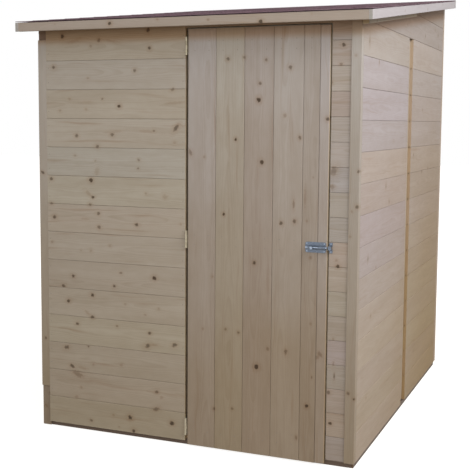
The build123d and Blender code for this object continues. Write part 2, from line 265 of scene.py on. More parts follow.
def buildYearRings():
    # the rings of the trunk that the board was sawn from: arches at its middle, straight lines at its edges
    tree, take, made = newGroup(
        "yearRings", "ShaderNodeTree", {"Grain": "Vector", "Shift": 0.0, "Pull": 0.0, "Spacing": ringForm["spacing"]},
        {"Late": "Float"},
    )
    at = separate(tree, take["Grain"])
    shift = take["Shift"]
    chance = separate(tree, noiseOf(tree, combine(tree, shift * 91.0, 3.5, 7.5), 5.0, output=1))
    slow = [
        noiseOf(tree, combine(tree, at[0] * rate, shift * 57.0, start)) - 0.5
        for rate, start in ((0.8, 1.0), (1.1, 5.0))
    ]
    aside, below = (
        chance[number] * spread + least + slow[1 - number] * wander
        for number, (spread, least, wander) in enumerate((ringForm["aside"], ringForm["below"]))
    )
    radius = vectorCalc(tree, "LENGTH", combine(tree, at[1] + take["Pull"] - aside, at[2] + below))
    ripple = (noiseOf(tree, combine(tree, at[0] * 9.0, at[1] * 40.0, shift), 1.0, 1.0) - 0.5) * ringForm["ripple"]
    ring = calc(tree, "FRACT", radius / take["Spacing"] + ripple)
    return giveBack(tree, made, {"Late": ring.remap(*ringForm["late"]) * ring.remap(*ringForm["fade"], 1.0, 0.0)})


def buildSpruce(knotMark, yearRings):
    tree, take, made = newGroup(
        "spruce", "ShaderNodeTree",
        {
            "Pale": (0.36, 0.3, 0.25, 1.0), "Line": (0.27, 0.21, 0.15, 1.0), "Streak": (0.2, 0.13, 0.08, 1.0),
            "Knot": (0.05, 0.035, 0.02, 1.0), "End": (0.43, 0.3, 0.17, 1.0),
            "Line Amount": 0.5, "Streak Amount": 0.5, "Broad Amount": 0.5,
        },
        {"Color": "Color", "Height": "Float", "Roughness": "Float"},
    )
    grain = readAttribute(tree, "grain", "Vector")
    shift, tone, endGrain = (readAttribute(tree, name) for name in ("shift", "tone", "endGrain"))
    tint = separate(tree, readAttribute(tree, "tint", "Vector"))
    moved = vectorCalc(tree, "ADD", grain, combine(tree, shift * 37.0, shift * 11.0, shift))
    wobble = noiseOf(tree, moved, grainForm["wobble"], 3.0) - 0.5
    core = halo = pull = 0.0
    for number in range(1, knotSlots + 1):
        mark = placeGroup(tree, knotMark, {
            "Grain": grain, "Knot": readAttribute(tree, f"knot{number}", "Vector"),
            "Shape": readAttribute(tree, f"knotShape{number}", "Vector"), "Wobble": wobble,
        })
        core, halo, pull = mark["Core"].atLeast(core), mark["Halo"].atLeast(halo), mark["Pull"] + pull
    at = separate(tree, moved)
    late = placeGroup(tree, yearRings, {"Grain": grain, "Shift": shift, "Pull": pull})["Late"]
    # slow waves along the board bend the streaks, and they part round each knot
    wave = noiseOf(tree, combine(tree, at[0] * 3.0, at[1] * 6.0, at[2])) - 0.5
    bent = at[1] + pull + wave * grainForm["wave"]

    def alongBoard(name, start, detail=2.0):
        alongScale, acrossScale = grainForm[name]
        return noiseOf(tree, combine(tree, at[0] * alongScale, bent * acrossScale, start), 1.0, detail)

    fibre = alongBoard("fibre", at[2] * 700.0, 1.0)
    broad = alongBoard("broad", 4.0) - 0.5
    mottle = alongBoard("mottle", 7.0, 3.0) - 0.5
    streak = alongBoard("streak", 9.0).remap(*grainForm["streakFrom"]) * take["Streak Amount"]
    amount = late * take["Line Amount"] + broad * take["Broad Amount"] + (fibre - 0.5) * grainForm["fibreAmount"]
    amount = (amount + mottle * grainForm["mottleAmount"] + grainForm["lift"]).atMost(1.0).atLeast(0.0)
    color = blendColor(tree, amount, take["Pale"], take["Line"])
    color = blendColor(tree, streak, color, take["Streak"])
    # the wood round a knot is a little browner, and a faint knot is only brown
    color = blendColor(tree, halo * grainForm["halo"], color, take["Streak"])
    knotColor = blendColor(tree, core.remap(*grainForm["brownKnots"]), take["Streak"], take["Knot"])
    color = blendColor(tree, (core * grainForm["core"]).atMost(1.0), color, knotColor)
    color = blendColor(tree, endGrain * grainForm["end"], color, take["End"])
    # each board has its own shade: lighter or darker, warmer, pinker
    light = tone * shadeForm["tone"] + 1.0 + tint[0]
    red = light * (tint[1] * shadeForm["warmRed"] + tint[2] * shadeForm["pinkRed"] + 1.0)
    green = light * (tint[2] * shadeForm["pinkGreen"] + 1.0)
    shade = combine(tree, red, green, light * (tint[1] * shadeForm["warmBlue"] + 1.0))
    return giveBack(tree, made, {
        "Color": vectorCalc(tree, "MULTIPLY", color, shade), "Height": fibre * 0.6 - late * 0.3 + core * -0.5,
        "Roughness": fibre * 0.14 + 0.6,
    })


def buildPaintedShade():
    # painted shade and warm bounce light: a wall is browner and darker towards its foot, more so in patches, towards
    # the back and right under the roof
    tree, take, made = newGroup(
        "groundTone", "ShaderNodeTree",
        {
            "Color": white, "Foot": (0.8, 0.7, 0.6, 1.0), "Amount": 1.0, "Height": 1.2, "Rear": 0.0, "Eaves": white,
            "Roof Slope": 0.13, "Roof Height": 2.0, "Eaves Reach": 0.1,
        },
        {"Color": "Color"},
    )
    place = objectPlace(tree)
    at = separate(tree, place)
    level = at[2] / take["Height"] + (noiseOf(tree, place, footForm["patchScale"]) - 0.5) * footForm["patches"]
    back = at[1].remap(*footForm["back"]) * at[2].remap(*footForm["backHeight"])
    mask = (level.remap(0.0, 1.0, 1.0, 0.0, False) * take["Amount"] + back * take["Rear"]).atMost(1.0)
    color = blendColor(tree, mask, take["Color"], take["Foot"], "MULTIPLY")
    below = (at[1] * take["Roof Slope"] + take["Roof Height"] - at[2]) / take["Eaves Reach"]
    color = blendColor(tree, below.remap(*footForm["eavesFade"], 1.0, 0.0), color, take["Eaves"], "MULTIPLY")
    return giveBack(tree, made, {"Color": color})


knotMark = buildKnotMark()
yearRings = buildYearRings()
spruce = buildSpruce(knotMark, yearRings)
groundTone = buildPaintedShade()

# the painted shade towards the foot: amount, reach in metres and amount towards the back, then its tone at the foot;
# end: the cut ends' tone as a share of the pale colour; and whether the painted shade right under the roof is added
plainWood = {
    "lines": 0.35, "streaks": 0.50, "broad": 0.9, "ground": (0.0, 1.2, 0.0), "foot": (0.80, 0.72, 0.60), "bump": 0.3,
    # the cut ends are paler and warmer than the face: their own tone with painted light added, so that ends facing into
    # narrow gaps look lit
    "end": (1.18, 1.00, 0.70), "eaves": False,
}
outerWood = {**plainWood, "lines": 0.25, "streaks": 0.40, "ground": (0.70, 1.2, 0.0), "bump": 0.25, "eaves": True}
woodLooks = {
    "wallSpruce": {**outerWood, "pale": (0.362, 0.325, 0.272), "line": (0.270, 0.228, 0.174), "streaks": 0.60},
    "stripSpruce": {**outerWood, "pale": (0.355, 0.312, 0.284), "line": (0.265, 0.220, 0.178), "lines": 0.30},
    "doorSpruce": {
        **outerWood, "pale": (0.370, 0.347, 0.331), "line": (0.275, 0.237, 0.203), "lines": 0.22, "streaks": 0.42,
        "ground": (1.25, 2.15, 0.0), "foot": (0.70, 0.60, 0.46),
    },
    "sideSpruce": {
        **outerWood, "pale": (0.362, 0.329, 0.318), "line": (0.272, 0.232, 0.203), "lines": 0.20, "streaks": 0.30,
        "ground": (0.53, 1.9, 0.50), "foot": (0.68, 0.53, 0.30), "bump": 0.15,
    },
    "postSpruce": {
        **outerWood, "pale": (0.358, 0.334, 0.311), "line": (0.270, 0.237, 0.200), "ground": (1.0, 1.9, 0.0),
        "foot": (0.70, 0.60, 0.46),
    },
    "trimSpruce": {
        **outerWood, "pale": (0.365, 0.330, 0.285), "line": (0.280, 0.240, 0.195), "ground": (1.0, 1.7, 0.0),
        "foot": (0.68, 0.59, 0.43),
    },
    "frameSpruce": {
        **plainWood, "pale": (0.385, 0.320, 0.250), "line": (0.280, 0.215, 0.150), "ground": (0.5, 1.2, 0.0),
    },
    "fasciaSpruce": {
        **plainWood, "pale": (0.322, 0.272, 0.232), "line": (0.256, 0.207, 0.166), "streaks": 0.45, "broad": 1.0,
        "end": (1.30, 1.42, 1.65),
    },
    "sideFasciaSpruce": {
        **plainWood, "pale": (0.425, 0.395, 0.400), "line": (0.350, 0.318, 0.318), "streaks": 0.20, "broad": 1.0,
        "end": (0.60, 0.62, 0.52),
    },
    "roofSpruce": {**plainWood, "pale": (0.385, 0.318, 0.240), "line": (0.280, 0.213, 0.146)},
    "darkTimber": {
        **plainWood, "pale": (0.165, 0.118, 0.088), "line": (0.115, 0.078, 0.055), "lines": 0.45, "streaks": 0.30,
        "brown": (0.05775, 0.0413, 0.0308),
    },
}
streakBrown = (0.225, 0.148, 0.092)
knotBrown = (0.064, 0.044, 0.028)
# painted shade right under the roof: its tone and how far down it reaches
eaves = {"tone": (0.86, 0.68, 0.52), "reach": 0.108}


def buildWood(name, look):
    material, tree, shader = newMaterial(name, 0.65, 0.25)
    lineTone, brown = look["line"], look.get("brown", streakBrown)
    wood = placeGroup(tree, spruce, {
        "Pale": solid(look["pale"]), "Line": solid(lineTone), "Streak": solid(brown),
        "Knot": solid(knotBrown), "End": solid(part * share for part, share in zip(look["pale"], look["end"])),
        "Line Amount": look["lines"], "Streak Amount": look["streaks"], "Broad Amount": look["broad"],
    })
    amount, height, rear = look["ground"]
    inputs = {"Color": wood["Color"], "Foot": solid(look["foot"]), "Amount": amount, "Height": height, "Rear": rear}
    if look["eaves"]:
        roofLine = {"Roof Slope": roofSlope, "Roof Height": deckUnder(0.0), "Eaves Reach": eaves["reach"]}
        inputs.update({"Eaves": solid(eaves["tone"]), **roofLine})
    feed(tree, shader.inputs["Base Color"], placeGroup(tree, groundTone, inputs)["Color"])
    feed(tree, shader.inputs["Roughness"], wood["Roughness"])
    addBump(tree, shader, wood["Height"], look["bump"], 0.0008)
    return material


wood = {name: buildWood(name, look) for name, look in woodLooks.items()}
print("wood materials built")


# boards from Geometry Nodes

def runTree(tree, values, start=None):
    # evaluates a tree and gives back its plain mesh
    holder = bpy.data.objects.new("holder", start or bpy.data.meshes.new("start"))
    bpy.context.scene.collection.objects.link(holder)
    modifier = holder.modifiers.new("nodes", "NODES")
    modifier.node_group = tree
    for item in tree.interface.items_tree:
        if item.item_type == "SOCKET" and item.in_out == "INPUT" and item.name in values:
            modifier[item.identifier] = values[item.name]
    depsgraph = bpy.context.evaluated_depsgraph_get()
    evaluated = holder.evaluated_get(depsgraph)
    mesh = bpy.data.meshes.new_from_object(evaluated, preserve_all_data_layers=True, depsgraph=depsgraph)
    holder.modifiers.remove(modifier)
    bpy.data.objects.remove(holder)
    return mesh


def storeValue(tree, geometry, name, value, kind="FLOAT", domain="INSTANCE"):
    values = {"Geometry": geometry, "Name": name, "Value": value}
    return placeNode(tree, "GeometryNodeStoreNamedAttribute", values, data_type=kind, domain=domain)


def randomFor(tree, low, high, seed):
    values = {"Min": low, "Max": high, "ID": placeNode(tree, "GeometryNodeInputIndex"), "Seed": seed}
    return placeNode(tree, "FunctionNodeRandomValue", values, "Value", data_type="FLOAT")


def moveMesh(tree, mesh, translation, rotation=None):
    values = {"Geometry": mesh, "Translation": translation, "Rotation": rotation}
    return placeNode(tree, "GeometryNodeTransform", values)


def cubeMesh(tree, size):
    return placeNode(tree, "GeometryNodeMeshCube", {"Size": size})


def instanceOn(tree, points, instance, selection=None, rotation=None):
    values = {"Points": points, "Instance": instance, "Selection": selection, "Rotation": rotation}
    return placeNode(tree, "GeometryNodeInstanceOnPoints", values)


def raiseFaces(tree, mesh, selection, height, mode, scaling):
    # extrudes the chosen faces and narrows their tops
    values = {"Mesh": mesh, "Selection": selection, "Offset Scale": height, "Individual": False}
    raised = placeNode(tree, "GeometryNodeExtrudeMesh", values, None, mode="FACES")
    values = {"Geometry": raised["Mesh"], "Selection": raised["Top"], **scaling}
    return placeNode(tree, "GeometryNodeScaleElements", values, domain="FACE", scale_mode=mode)


def finishTree(tree, geometry, made, material):
    realized = placeNode(tree, "GeometryNodeRealizeInstances", {"Geometry": geometry})
    painted = placeNode(tree, "GeometryNodeSetMaterial", {"Geometry": realized, "Material": material})
    return giveBack(tree, made, {"Geometry": painted})


tongue = {"thickness": 0.005, "reach": 0.006, "depth": 0.6}


def buildBoardRow():
    # tongued and grooved boards lying along X, stacked up Z, with their V-jointed face towards -Y
    tree, take, made = newGroup(
        "boardRow", "GeometryNodeTree",
        {
            "Geometry": "Geometry", "Length": 1.0, "Cover": 0.136, "Thickness": 0.016, "Bevel": 0.0035, "Gap": 0.001,
            "Count": 10, "Seed": 1, "Board Material": "Material",
        },
        {"Geometry": "Geometry"},
    )
    length, cover, thickness, bevel, gap = (take[name] for name in ("Length", "Cover", "Thickness", "Bevel", "Gap"))
    face, halfLength, halfCover = cover - gap, length * 0.5, cover * 0.5
    body = cubeMesh(tree, combine(tree, length, thickness - bevel, face))
    body = moveMesh(tree, body, combine(tree, halfLength, (thickness + bevel) * 0.5, halfCover))
    front = calc(tree, "LESS_THAN", separate(tree, placeNode(tree, "GeometryNodeInputNormal"))[1], -0.5)
    narrower = {
        "Scale": (face - bevel * 2.0) / face, "Center": combine(tree, halfLength, 0.0, halfCover),
        "Axis": (0.0, 0.0, 1.0),
    }
    body = raiseFaces(tree, body, front, bevel, "SINGLE_AXIS", narrower)
    bar = cubeMesh(tree, combine(tree, length, tongue["thickness"], gap + tongue["reach"]))
    bar = moveMesh(tree, bar, combine(tree, halfLength, thickness * tongue["depth"], cover))
    line = {"Count": take["Count"], "Offset": combine(tree, 0.0, 0.0, cover)}
    row = placeNode(tree, "GeometryNodeMeshLine", line, mode="OFFSET")
    at = separate(tree, placeNode(tree, "GeometryNodeInputPosition"))
    ownPlace = combine(tree, at[0], at[2], at[1])
    index = placeNode(tree, "GeometryNodeInputIndex")
    notLast = calc(tree, "LESS_THAN", index, take["Count"] - 1.5)
    parts = []
    for piece, selection in ((body, None), (bar, notLast)):
        piece = storeValue(tree, piece, "grain", ownPlace, "FLOAT_VECTOR", "POINT")
        group = storeValue(tree, instanceOn(tree, row, piece, selection), "board", index)
        group = storeValue(tree, group, "shift", randomFor(tree, 0.0, 1.0, take["Seed"]))
        parts.append(storeValue(tree, group, "tone", randomFor(tree, -1.0, 1.0, take["Seed"] + 5.0)))
    joined = placeNode(tree, "GeometryNodeJoinGeometry", {"Geometry": parts})
    return finishTree(tree, joined, made, take["Board Material"])


boardRow = buildBoardRow()
roofCut = (Vector((0.0, deckLow.y, deckLow.z)), Vector((0.0, -roofSlope, 1.0)).normalized())

facings = {  # the row frame's directions of a panel's length, depth into the wall, and height
    "front": ((1, 0, 0), (0, 1, 0), (0, 0, 1)),
    "right": ((0, 1, 0), (-1, 0, 0), (0, 0, 1)),
    "left": ((0, -1, 0), (1, 0, 0), (0, 0, 1)),
    "rear": ((-1, 0, 0), (0, -1, 0), (0, 0, 1)),
    "upright": ((0, 0, 1), (0, 1, 0), (-1, 0, 0)),
    "floor": ((0, 1, 0), (0, 0, -1), (-1, 0, 0)),
    "roof": ((0, 1, roofSlope), (0, 0, 1), (1, 0, 0)),
    "acrossRoof": ((1, 0, 0), (0, 1, roofSlope), (0, 0, 1)),
    "alongRoof": ((0, 1, roofSlope), (-1, 0, 0), (0, 0, 1)),
}


def placing(facing, origin):
    matrix = Matrix(facings[facing]).transposed().to_4x4()
    matrix.translation = origin
    return matrix


def cutPlane(axis, value, outwards):
    # cuts away what lies outwards of a plane square to an axis
    point, normal = Vector(), Vector()
    point[axis], normal[axis] = value, outwards
    return point, normal


def cutAway(bm, cuts):
    # cuts away what lies outside each plane and closes the cut
    for point, normal in cuts:
        everything = bm.verts[:] + bm.edges[:] + bm.faces[:]
        planes = {"plane_co": point, "plane_no": normal, "clear_outer": True, "dist": 1e-6}
        result = bmesh.ops.bisect_plane(bm, geom=everything, **planes)
        edges = [e for e in result["geom_cut"] if isinstance(e, bmesh.types.BMEdge)]
        if edges:
            bmesh.ops.edgenet_fill(bm, edges=edges)
    bmesh.ops.recalc_face_normals(bm, faces=bm.faces[:])


def trimMesh(mesh, cuts):
    bm = bmesh.new()
    bm.from_mesh(mesh)
    cutAway(bm, cuts)
    bm.to_mesh(mesh)
    bm.free()


def knotShape(knot):
    # darkness, lean in radians and stretch; a plain knot is round
    lean, stretch = knot[4:6] if len(knot) > 4 else (0.0, 1.15)
    return (knot[3], math.radians(lean), stretch)


def addValues(mesh, name, kind, values, domain="POINT"):
    field = "value" if kind == "FLOAT" else "vector"
    mesh.attributes.new(name, kind, domain).data.foreach_set(field, values)


def writeWood(mesh, details):
    # details: knots and tint of each board
    numbers = [min(len(details) - 1, round(item.value)) for item in mesh.attributes["board"].data]
    for slotNumber in range(knotSlots):
        spots, shapes = [], []
        for number in numbers:
            knots = details[number]["knots"]
            present = slotNumber < len(knots)
            spots += knots[slotNumber][:3] if present else (0.0, 0.0, 0.0)
            shapes += knotShape(knots[slotNumber]) if present else (0.0, 0.0, 1.0)
        addValues(mesh, f"knot{slotNumber + 1}", "FLOAT_VECTOR", spots)
        addValues(mesh, f"knotShape{slotNumber + 1}", "FLOAT_VECTOR", shapes)
    addValues(mesh, "tint", "FLOAT_VECTOR", [part for number in numbers for part in details[number]["tint"]])


def isEnd(normal, direction):
    return 1.0 if abs(normal.dot(direction)) > 0.9 else 0.0


def markEnds(mesh, facing):
    # faces square to the grain are end grain
    direction = Vector(facings[facing][0]).normalized()
    addValues(mesh, "endGrain", "FLOAT", [isEnd(p.normal, direction) for p in mesh.polygons], "FACE")


# panel, deck and timber: knots a metre of board
looseForm = {
    "panel": 4.0, "deck": 3.5, "timber": 2.2, "radius": (0.0035, 0.0095), "margin": 0.03, "across": (0.1, 0.9),
    "dark": (0.25, 0.9), "lean": (-60.0, 60.0), "stretch": (1.0, 1.6),
}


def looseKnots(source, length, width, kind):
    # knots at random places on a board, for the sides that no picture shows
    knots = []
    margin = looseForm["margin"]
    for _ in range(min(knotSlots, int(length * looseForm[kind] + source.random()))):
        radius = source.uniform(*looseForm["radius"])
        place = (source.uniform(margin, length - margin), source.uniform(*looseForm["across"]) * width)
        knots.append((*place, radius, *(source.uniform(*looseForm[name]) for name in ("dark", "lean", "stretch"))))
    return knots


def looseTint(source, light=0.0, warm=0.6, pink=0.6):
    return (source.uniform(-light, light) if light else 0.0, source.uniform(-warm, warm), source.uniform(-pink, pink))


def sortKnots(details, knots, cover):
    # knots: place along and across the row of boards; where a board has more than slots, the plainest stay
    for number, entry in enumerate(details):
        for along, level, radius, *shape in knots:
            across = level - number * cover
            if -radius < across < cover + radius:
                entry["knots"].append((along, across, radius, *shape))
        entry["knots"] = sorted(entry["knots"], key=lambda knot: -knot[2] * knot[3])[:knotSlots]


def finishPiece(name, mesh, body="shed", replaced=(), material=None):
    mesh.name = name
    obj = bpy.data.objects.new(name, mesh)
    bpy.context.scene.collection.objects.link(obj)
    if material:
        mesh.materials.clear()
        mesh.materials.append(material)
    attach(obj, body)
    if replaced:
        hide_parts(*replaced)
    return obj


def makeRow(boards, length, count, thickness, seed, look):
    return runTree(boardRow, {
        "Length": length, "Cover": boards["cover"], "Thickness": thickness, "Bevel": boards["bevel"],
        "Gap": boards["gap"], "Count": count, "Seed": seed, "Board Material": wood[look],
    })


def makePanel(name, panel):
    low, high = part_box(panel["node"])
    facing, cover = panel["facing"], panel["cover"]
    x, y = {
        "front": (low.x, low.y), "right": (high.x, low.y), "left": (low.x, high.y), "rear": (high.x, high.y),
    }[facing]
    length = high.x - low.x if facing in ("front", "rear") else high.y - low.y
    start = panel["joint"] - cover * math.ceil((panel["joint"] - low.z) / cover - 1e-6)
    count = math.ceil((high.z - start) / cover - 1e-6)
    if high.z - start - cover * (count - 1) < panel["leastTop"]:
        count -= 1
    matrix = placing(facing, (x, y, start))
    mesh = makeRow(panel, length, count, panel["thickness"], panel["seed"], panel["look"])
    # the top board keeps its full width where a narrow strip would be left over
    topEdge = cover * count
    spare = high.z - start - topEdge
    if spare > 0:
        for vertex in mesh.vertices:
            if vertex.co.z > topEdge - panel["bevel"] - panel["gap"] - 1e-4:
                vertex.co.z += spare
    mesh.transform(matrix)
    trimMesh(mesh, [cutPlane(2, low.z, -1), roofCut if panel["underRoof"] else cutPlane(2, high.z, 1)])
    source = random.Random(panel["seed"])
    details = []
    for number in range(count):
        details.append({"knots": [], "tint": looseTint(source, 0.03, 0.9, 0.8)})
        if not panel["knots"]:
            details[number]["knots"] = looseKnots(source, length, cover, "panel")
    knots = []
    for u, v, radius, *shape in panel["knots"]:
        height = (v + knotDatum) * mm
        place = Vector((u * mm, y, height)) if facing in ("front", "rear") else Vector((x, u * mm, height))
        local = matrix.inverted() @ place
        knots.append((local.x, local.z, radius * mm, *shape))
    sortKnots(details, knots, cover)
    for number, tint in enumerate(panel["tints"]):
        details[count - 1 - number]["tint"] = tint
    writeWood(mesh, details)
    markEnds(mesh, facing)
    return finishPiece(name, mesh, replaced=(panel["node"],))


wallBoards = {
    "cover": 0.136, "thickness": 0.016, "bevel": 0.0020, "gap": 0.0004, "joint": 1.7875, "leastTop": 0.05,
    "knots": (), "tints": (), "underRoof": False, "look": "sideSpruce",
}

# knots: across or along the wall, height over knotDatum, radius in mm, darkness; where it matters, lean in
# degrees and stretch
knotDatum = 10  # mm above the ground
frontKnots = (
    (-657, 1868, 9, 0.8), (-459, 1849, 8, 0.55), (-204, 1880, 9, 0.75), (-196, 1817, 8, 0.75), (-504, 1830, 6, 0.35),
    (-590, 1850, 7, 0.22, 12, 6.0), (-390, 1846, 6, 0.20, -8, 7.0), (-707, 1748, 9, 0.65), (-272, 1727, 8, 0.6),
    (-519, 1694, 6, 0.35), (-81, 1639, 8, 0.5, 30, 1.4), (-619, 1597, 7, 0.3), (-526, 1584, 7, 0.20, 0, 5.0),
    (-68, 1580, 6, 0.25, 3, 8.0), (-443, 1598, 6, 0.5), (-354, 1565, 9, 0.9), (-531, 1550, 7, 0.3),
    (-674, 1542, 7, 0.35), (-583, 1425, 9, 0.65), (-382, 1446, 7, 0.25, 4, 6.0), (-210, 1449, 7, 0.25, -3, 6.0),
    (-392, 1432, 9, 0.6), (-173, 1452, 7, 0.5), (-62, 1466, 10, 0.65, 50, 1.9), (-70, 1400, 7, 0.3),
    (-471, 1376, 9, 0.6), (-593, 1331, 7, 0.35), (-252, 1317, 7, 0.5), (-256, 1278, 6, 0.5), (-482, 1309, 5, 0.3),
    (-473, 1257, 13, 0.25, 80, 1.6), (-726, 1217, 9, 0.65), (-507, 1216, 10, 1.0), (-497, 1136, 8, 0.8),
    (-520, 1152, 8, 0.3, -40, 3.0), (-726, 1097, 8, 0.5), (-513, 1101, 8, 0.55), (-117, 1151, 12, 0.3),
    (-216, 1163, 6, 0.35), (-468, 1059, 9, 0.6), (-710, 1032, 9, 0.75), (-263, 1015, 9, 0.75),
    (-540, 1030, 6, 0.25, 0, 5.0), (-406, 1026, 6, 0.20, 2, 5.0), (-350, 1033, 6, 0.20, 0, 6.0), (-464, 995, 9, 0.6),
    (-137, 1032, 5, 0.3), (-38, 1028, 6, 0.3), (-726, 910, 7, 0.35), (-407, 909, 7, 0.3), (-565, 877, 5, 0.3),
    (-510, 879, 8, 0.3), (-609, 750, 9, 0.75), (-664, 699, 9, 0.7), (-348, 782, 7, 0.5), (-172, 770, 10, 1.0),
    (-384, 716, 8, 0.7), (-504, 664, 9, 0.85), (-636, 627, 9, 0.8), (-505, 557, 9, 0.7),
    (-530, 575, 7, 0.28, -40, 3.0), (-327, 635, 7, 0.3), (-150, 626, 6, 0.3), (-220, 592, 6, 0.3),
    (-588, 518, 9, 0.75), (-371, 525, 7, 0.5), (-197, 507, 8, 0.7), (-67, 463, 10, 0.65, 20, 1.5),
    (-208, 446, 11, 0.65, 25, 1.6), (-175, 452, 8, 0.28, 8, 4.0), (-650, 397, 10, 0.65, 15, 1.5), (-528, 412, 5, 0.6),
    (-619, 306, 10, 0.7, -15, 1.4), (-560, 302, 8, 0.25, -5, 4.0), (-501, 326, 7, 0.3), (-348, 339, 8, 0.3),
    (-587, 268, 14, 0.45, -20, 2.4), (-570, 206, 7, 0.3), (-597, 154, 10, 0.3), (-160, 229, 9, 0.6),
    (-135, 205, 8, 0.3), (-162, 146, 11, 0.55, 20, 1.5), (-302, 88, 11, 0.9), (-82, 88, 11, 0.9), (-283, 24, 10, 0.8),
    (-516, 47, 8, 0.6), (-393, 88, 7, 0.3), (-362, 34, 5, 0.3),
)
stripKnots = (
    (712, 1820, 9, 0.75), (702, 1740, 7, 0.5), (663, 1663, 7, 0.5), (679, 1290, 16, 0.5, 70, 1.3),
    (673, 1220, 10, 0.4, 80, 1.3), (697, 906, 7, 0.35), (704, 880, 8, 0.85), (672, 321, 9, 0.6), (682, 185, 8, 0.85),
    (690, 560, 5, 0.3, 85, 2.0), (697, 395, 4, 0.6, 88, 4.5), (692, 450, 4, 0.4, 80, 3.0),
)
rightFrontKnots = (
    (-820, 1840, 9, 0.45, 85, 1.8), (-635, 1765, 8, 0.45, 85, 1.4), (-580, 1909, 6, 0.3),
    (-445, 1200, 8, 0.5, 80, 1.7), (-370, 1120, 9, 0.45), (-770, 895, 7, 0.6, 80, 2.0), (-615, 835, 7, 0.35),
    (-695, 625, 9, 0.4), (-750, 260, 8, 0.35), (-160, 540, 8, 0.2), (-300, 1410, 8, 0.2),
)
rightRearKnots = (
    (195, 1328, 10, 0.5), (420, 1568, 9, 0.4), (440, 1228, 10, 0.5), (620, 1240, 9, 0.4), (150, 690, 10, 0.35),
    (760, 820, 9, 0.2),
)

# tints: of each board from the top; on the right wall they also grow warmer towards the foot, painted warm light from
# the ground over each board's own tone
panels = {
    "frontLeftBoards": {
        "look": "wallSpruce", "node": "front_left_cladding", "facing": "front", "seed": 11, "knots": frontKnots,
        "underRoof": True,
        "tints": (
            (-0.02, 0.4, 0.3), (0.02, -0.4, 0.1), (0.0, 0.4, 0.3), (0.0, 0.1, 0.2), (0.015, -0.4, -0.3),
            (0.0, 0.3, -0.1), (0.0, 0.2, 0.5), (-0.03, 0.0, 0.3), (-0.04, 0.1, 0.4), (0.0, 0.1, 0.2),
            (0.0, 0.3, -0.2), (0.0, 0.1, 0.2), (0.0, 0.0, 0.3), (0.0, 0.3, -0.2),
        ),
    },
    "latchStripBoards": {
        "look": "stripSpruce", "node": "front_right_cladding", "facing": "front", "seed": 12, "knots": stripKnots,
        "underRoof": True, "cover": 0.1073, "joint": 1.851,
    },
    "rightFrontBoards": {
        "node": "right_front_cladding", "facing": "right", "seed": 13, "knots": rightFrontKnots,
        "tints": (
            (0.0, 0.9, 0.2), (0.01, -0.5, 0.5), (0.03, -0.8, 0.6), (0.02, -0.5, 0.4), (0.0, 1.0, 0.8),
            (-0.01, 0.6, 0.9), (0.02, -0.6, 0.9), (0.02, -0.5, 0.5), (0.01, 0.3, 0.3), (0.0, 0.9, 0.3),
            (0.01, 1.2, 0.1), (0.0, 0.8, 0.3), (0.0, 1.3, 0.0), (0.01, 0.9, 0.3),
        ),
    },
    "rightRearBoards": {
        "node": "right_rear_cladding", "facing": "right", "seed": 14, "knots": rightRearKnots,
        "tints": (
            (0.01, 0.9, 0.5), (0.0, 0.3, 0.3), (-0.02, 0.5, 0.6), (0.0, 0.2, 0.4), (0.0, 0.9, 0.5),
            (-0.02, 0.8, 0.4), (0.01, 0.2, 0.3), (0.0, 0.8, 0.2), (-0.01, 1.2, 0.2), (0.0, 1.5, -0.2),
            (-0.02, 1.2, 0.0), (0.01, 1.6, -0.3), (0.0, 1.0, 0.2), (0.0, 1.4, 0.0),
        ),
    },
    "rightGableBoards": {
        "node": "right_gable_cladding", "facing": "right", "seed": 15, "joint": 2.074, "underRoof": True,
        # the gable's boards are tinted darker and warmer: painted shade under the side eaves
        "tints": ((-0.14, 0.9, 0.3), (-0.14, 0.7, 0.5), (-0.14, 1.1, 0.7)),
    },
    "leftFrontBoards": {"node": "left_front_cladding", "facing": "left", "seed": 16},
    "leftRearBoards": {"node": "left_rear_cladding", "facing": "left", "seed": 17},
    "leftGableBoards": {
        "node": "left_gable_cladding", "facing": "left", "seed": 18, "joint": 2.074, "underRoof": True,
    },
    "rearLeftBoards": {"node": "rear_left_cladding", "facing": "rear", "seed": 19, "underRoof": True},
    "rearRightBoards": {"node": "rear_right_cladding", "facing": "rear", "seed": 20, "underRoof": True},
}
for panelName, panel in panels.items():
    makePanel(panelName, {**wallBoards, **panel})
print("wall boards placed")


# single timbers

def addTimber(bm, matrix, length, width, depth, number, source, wear, cuts):
    # one squared timber: length along its grain, width across, depth into the wall
    piece = bmesh.new()
    own = piece.verts.layers.float_vector.new("grain")
    bmesh.ops.create_cube(piece, size=1.0)
    for vertex in piece.verts:
        half = vertex.co + Vector((0.5, 0.5, 0.5))
        vertex.co = Vector((half.x * length, half.y * depth, half.z * width))
    bmesh.ops.bevel(piece, geom=piece.edges[:], offset=wear, segments=1, profile=0.5, affect="EDGES")
    for vertex in piece.verts:
        vertex[own] = Vector((vertex.co.x, vertex.co.z, vertex.co.y))
    bmesh.ops.transform(piece, matrix=matrix, verts=piece.verts[:])
    cutAway(piece, cuts)
    direction = (matrix.to_3x3() @ Vector((1, 0, 0))).normalized()
    marks = {"shift": source.random(), "tone": source.uniform(-1.0, 1.0), "board": float(number)}
    floats = bm.verts.layers.float
    copies = {}
    for vertex in piece.verts:
        copies[vertex] = new = bm.verts.new(vertex.co)
        new[bm.verts.layers.float_vector["grain"]] = vertex[own]
        for key, value in marks.items():
            new[floats[key]] = value
    for face in piece.faces:
        made = bm.faces.new([copies[v] for v in face.verts])
        made[bm.faces.layers.float["endGrain"]] = isEnd(face.normal, direction)
    piece.free()


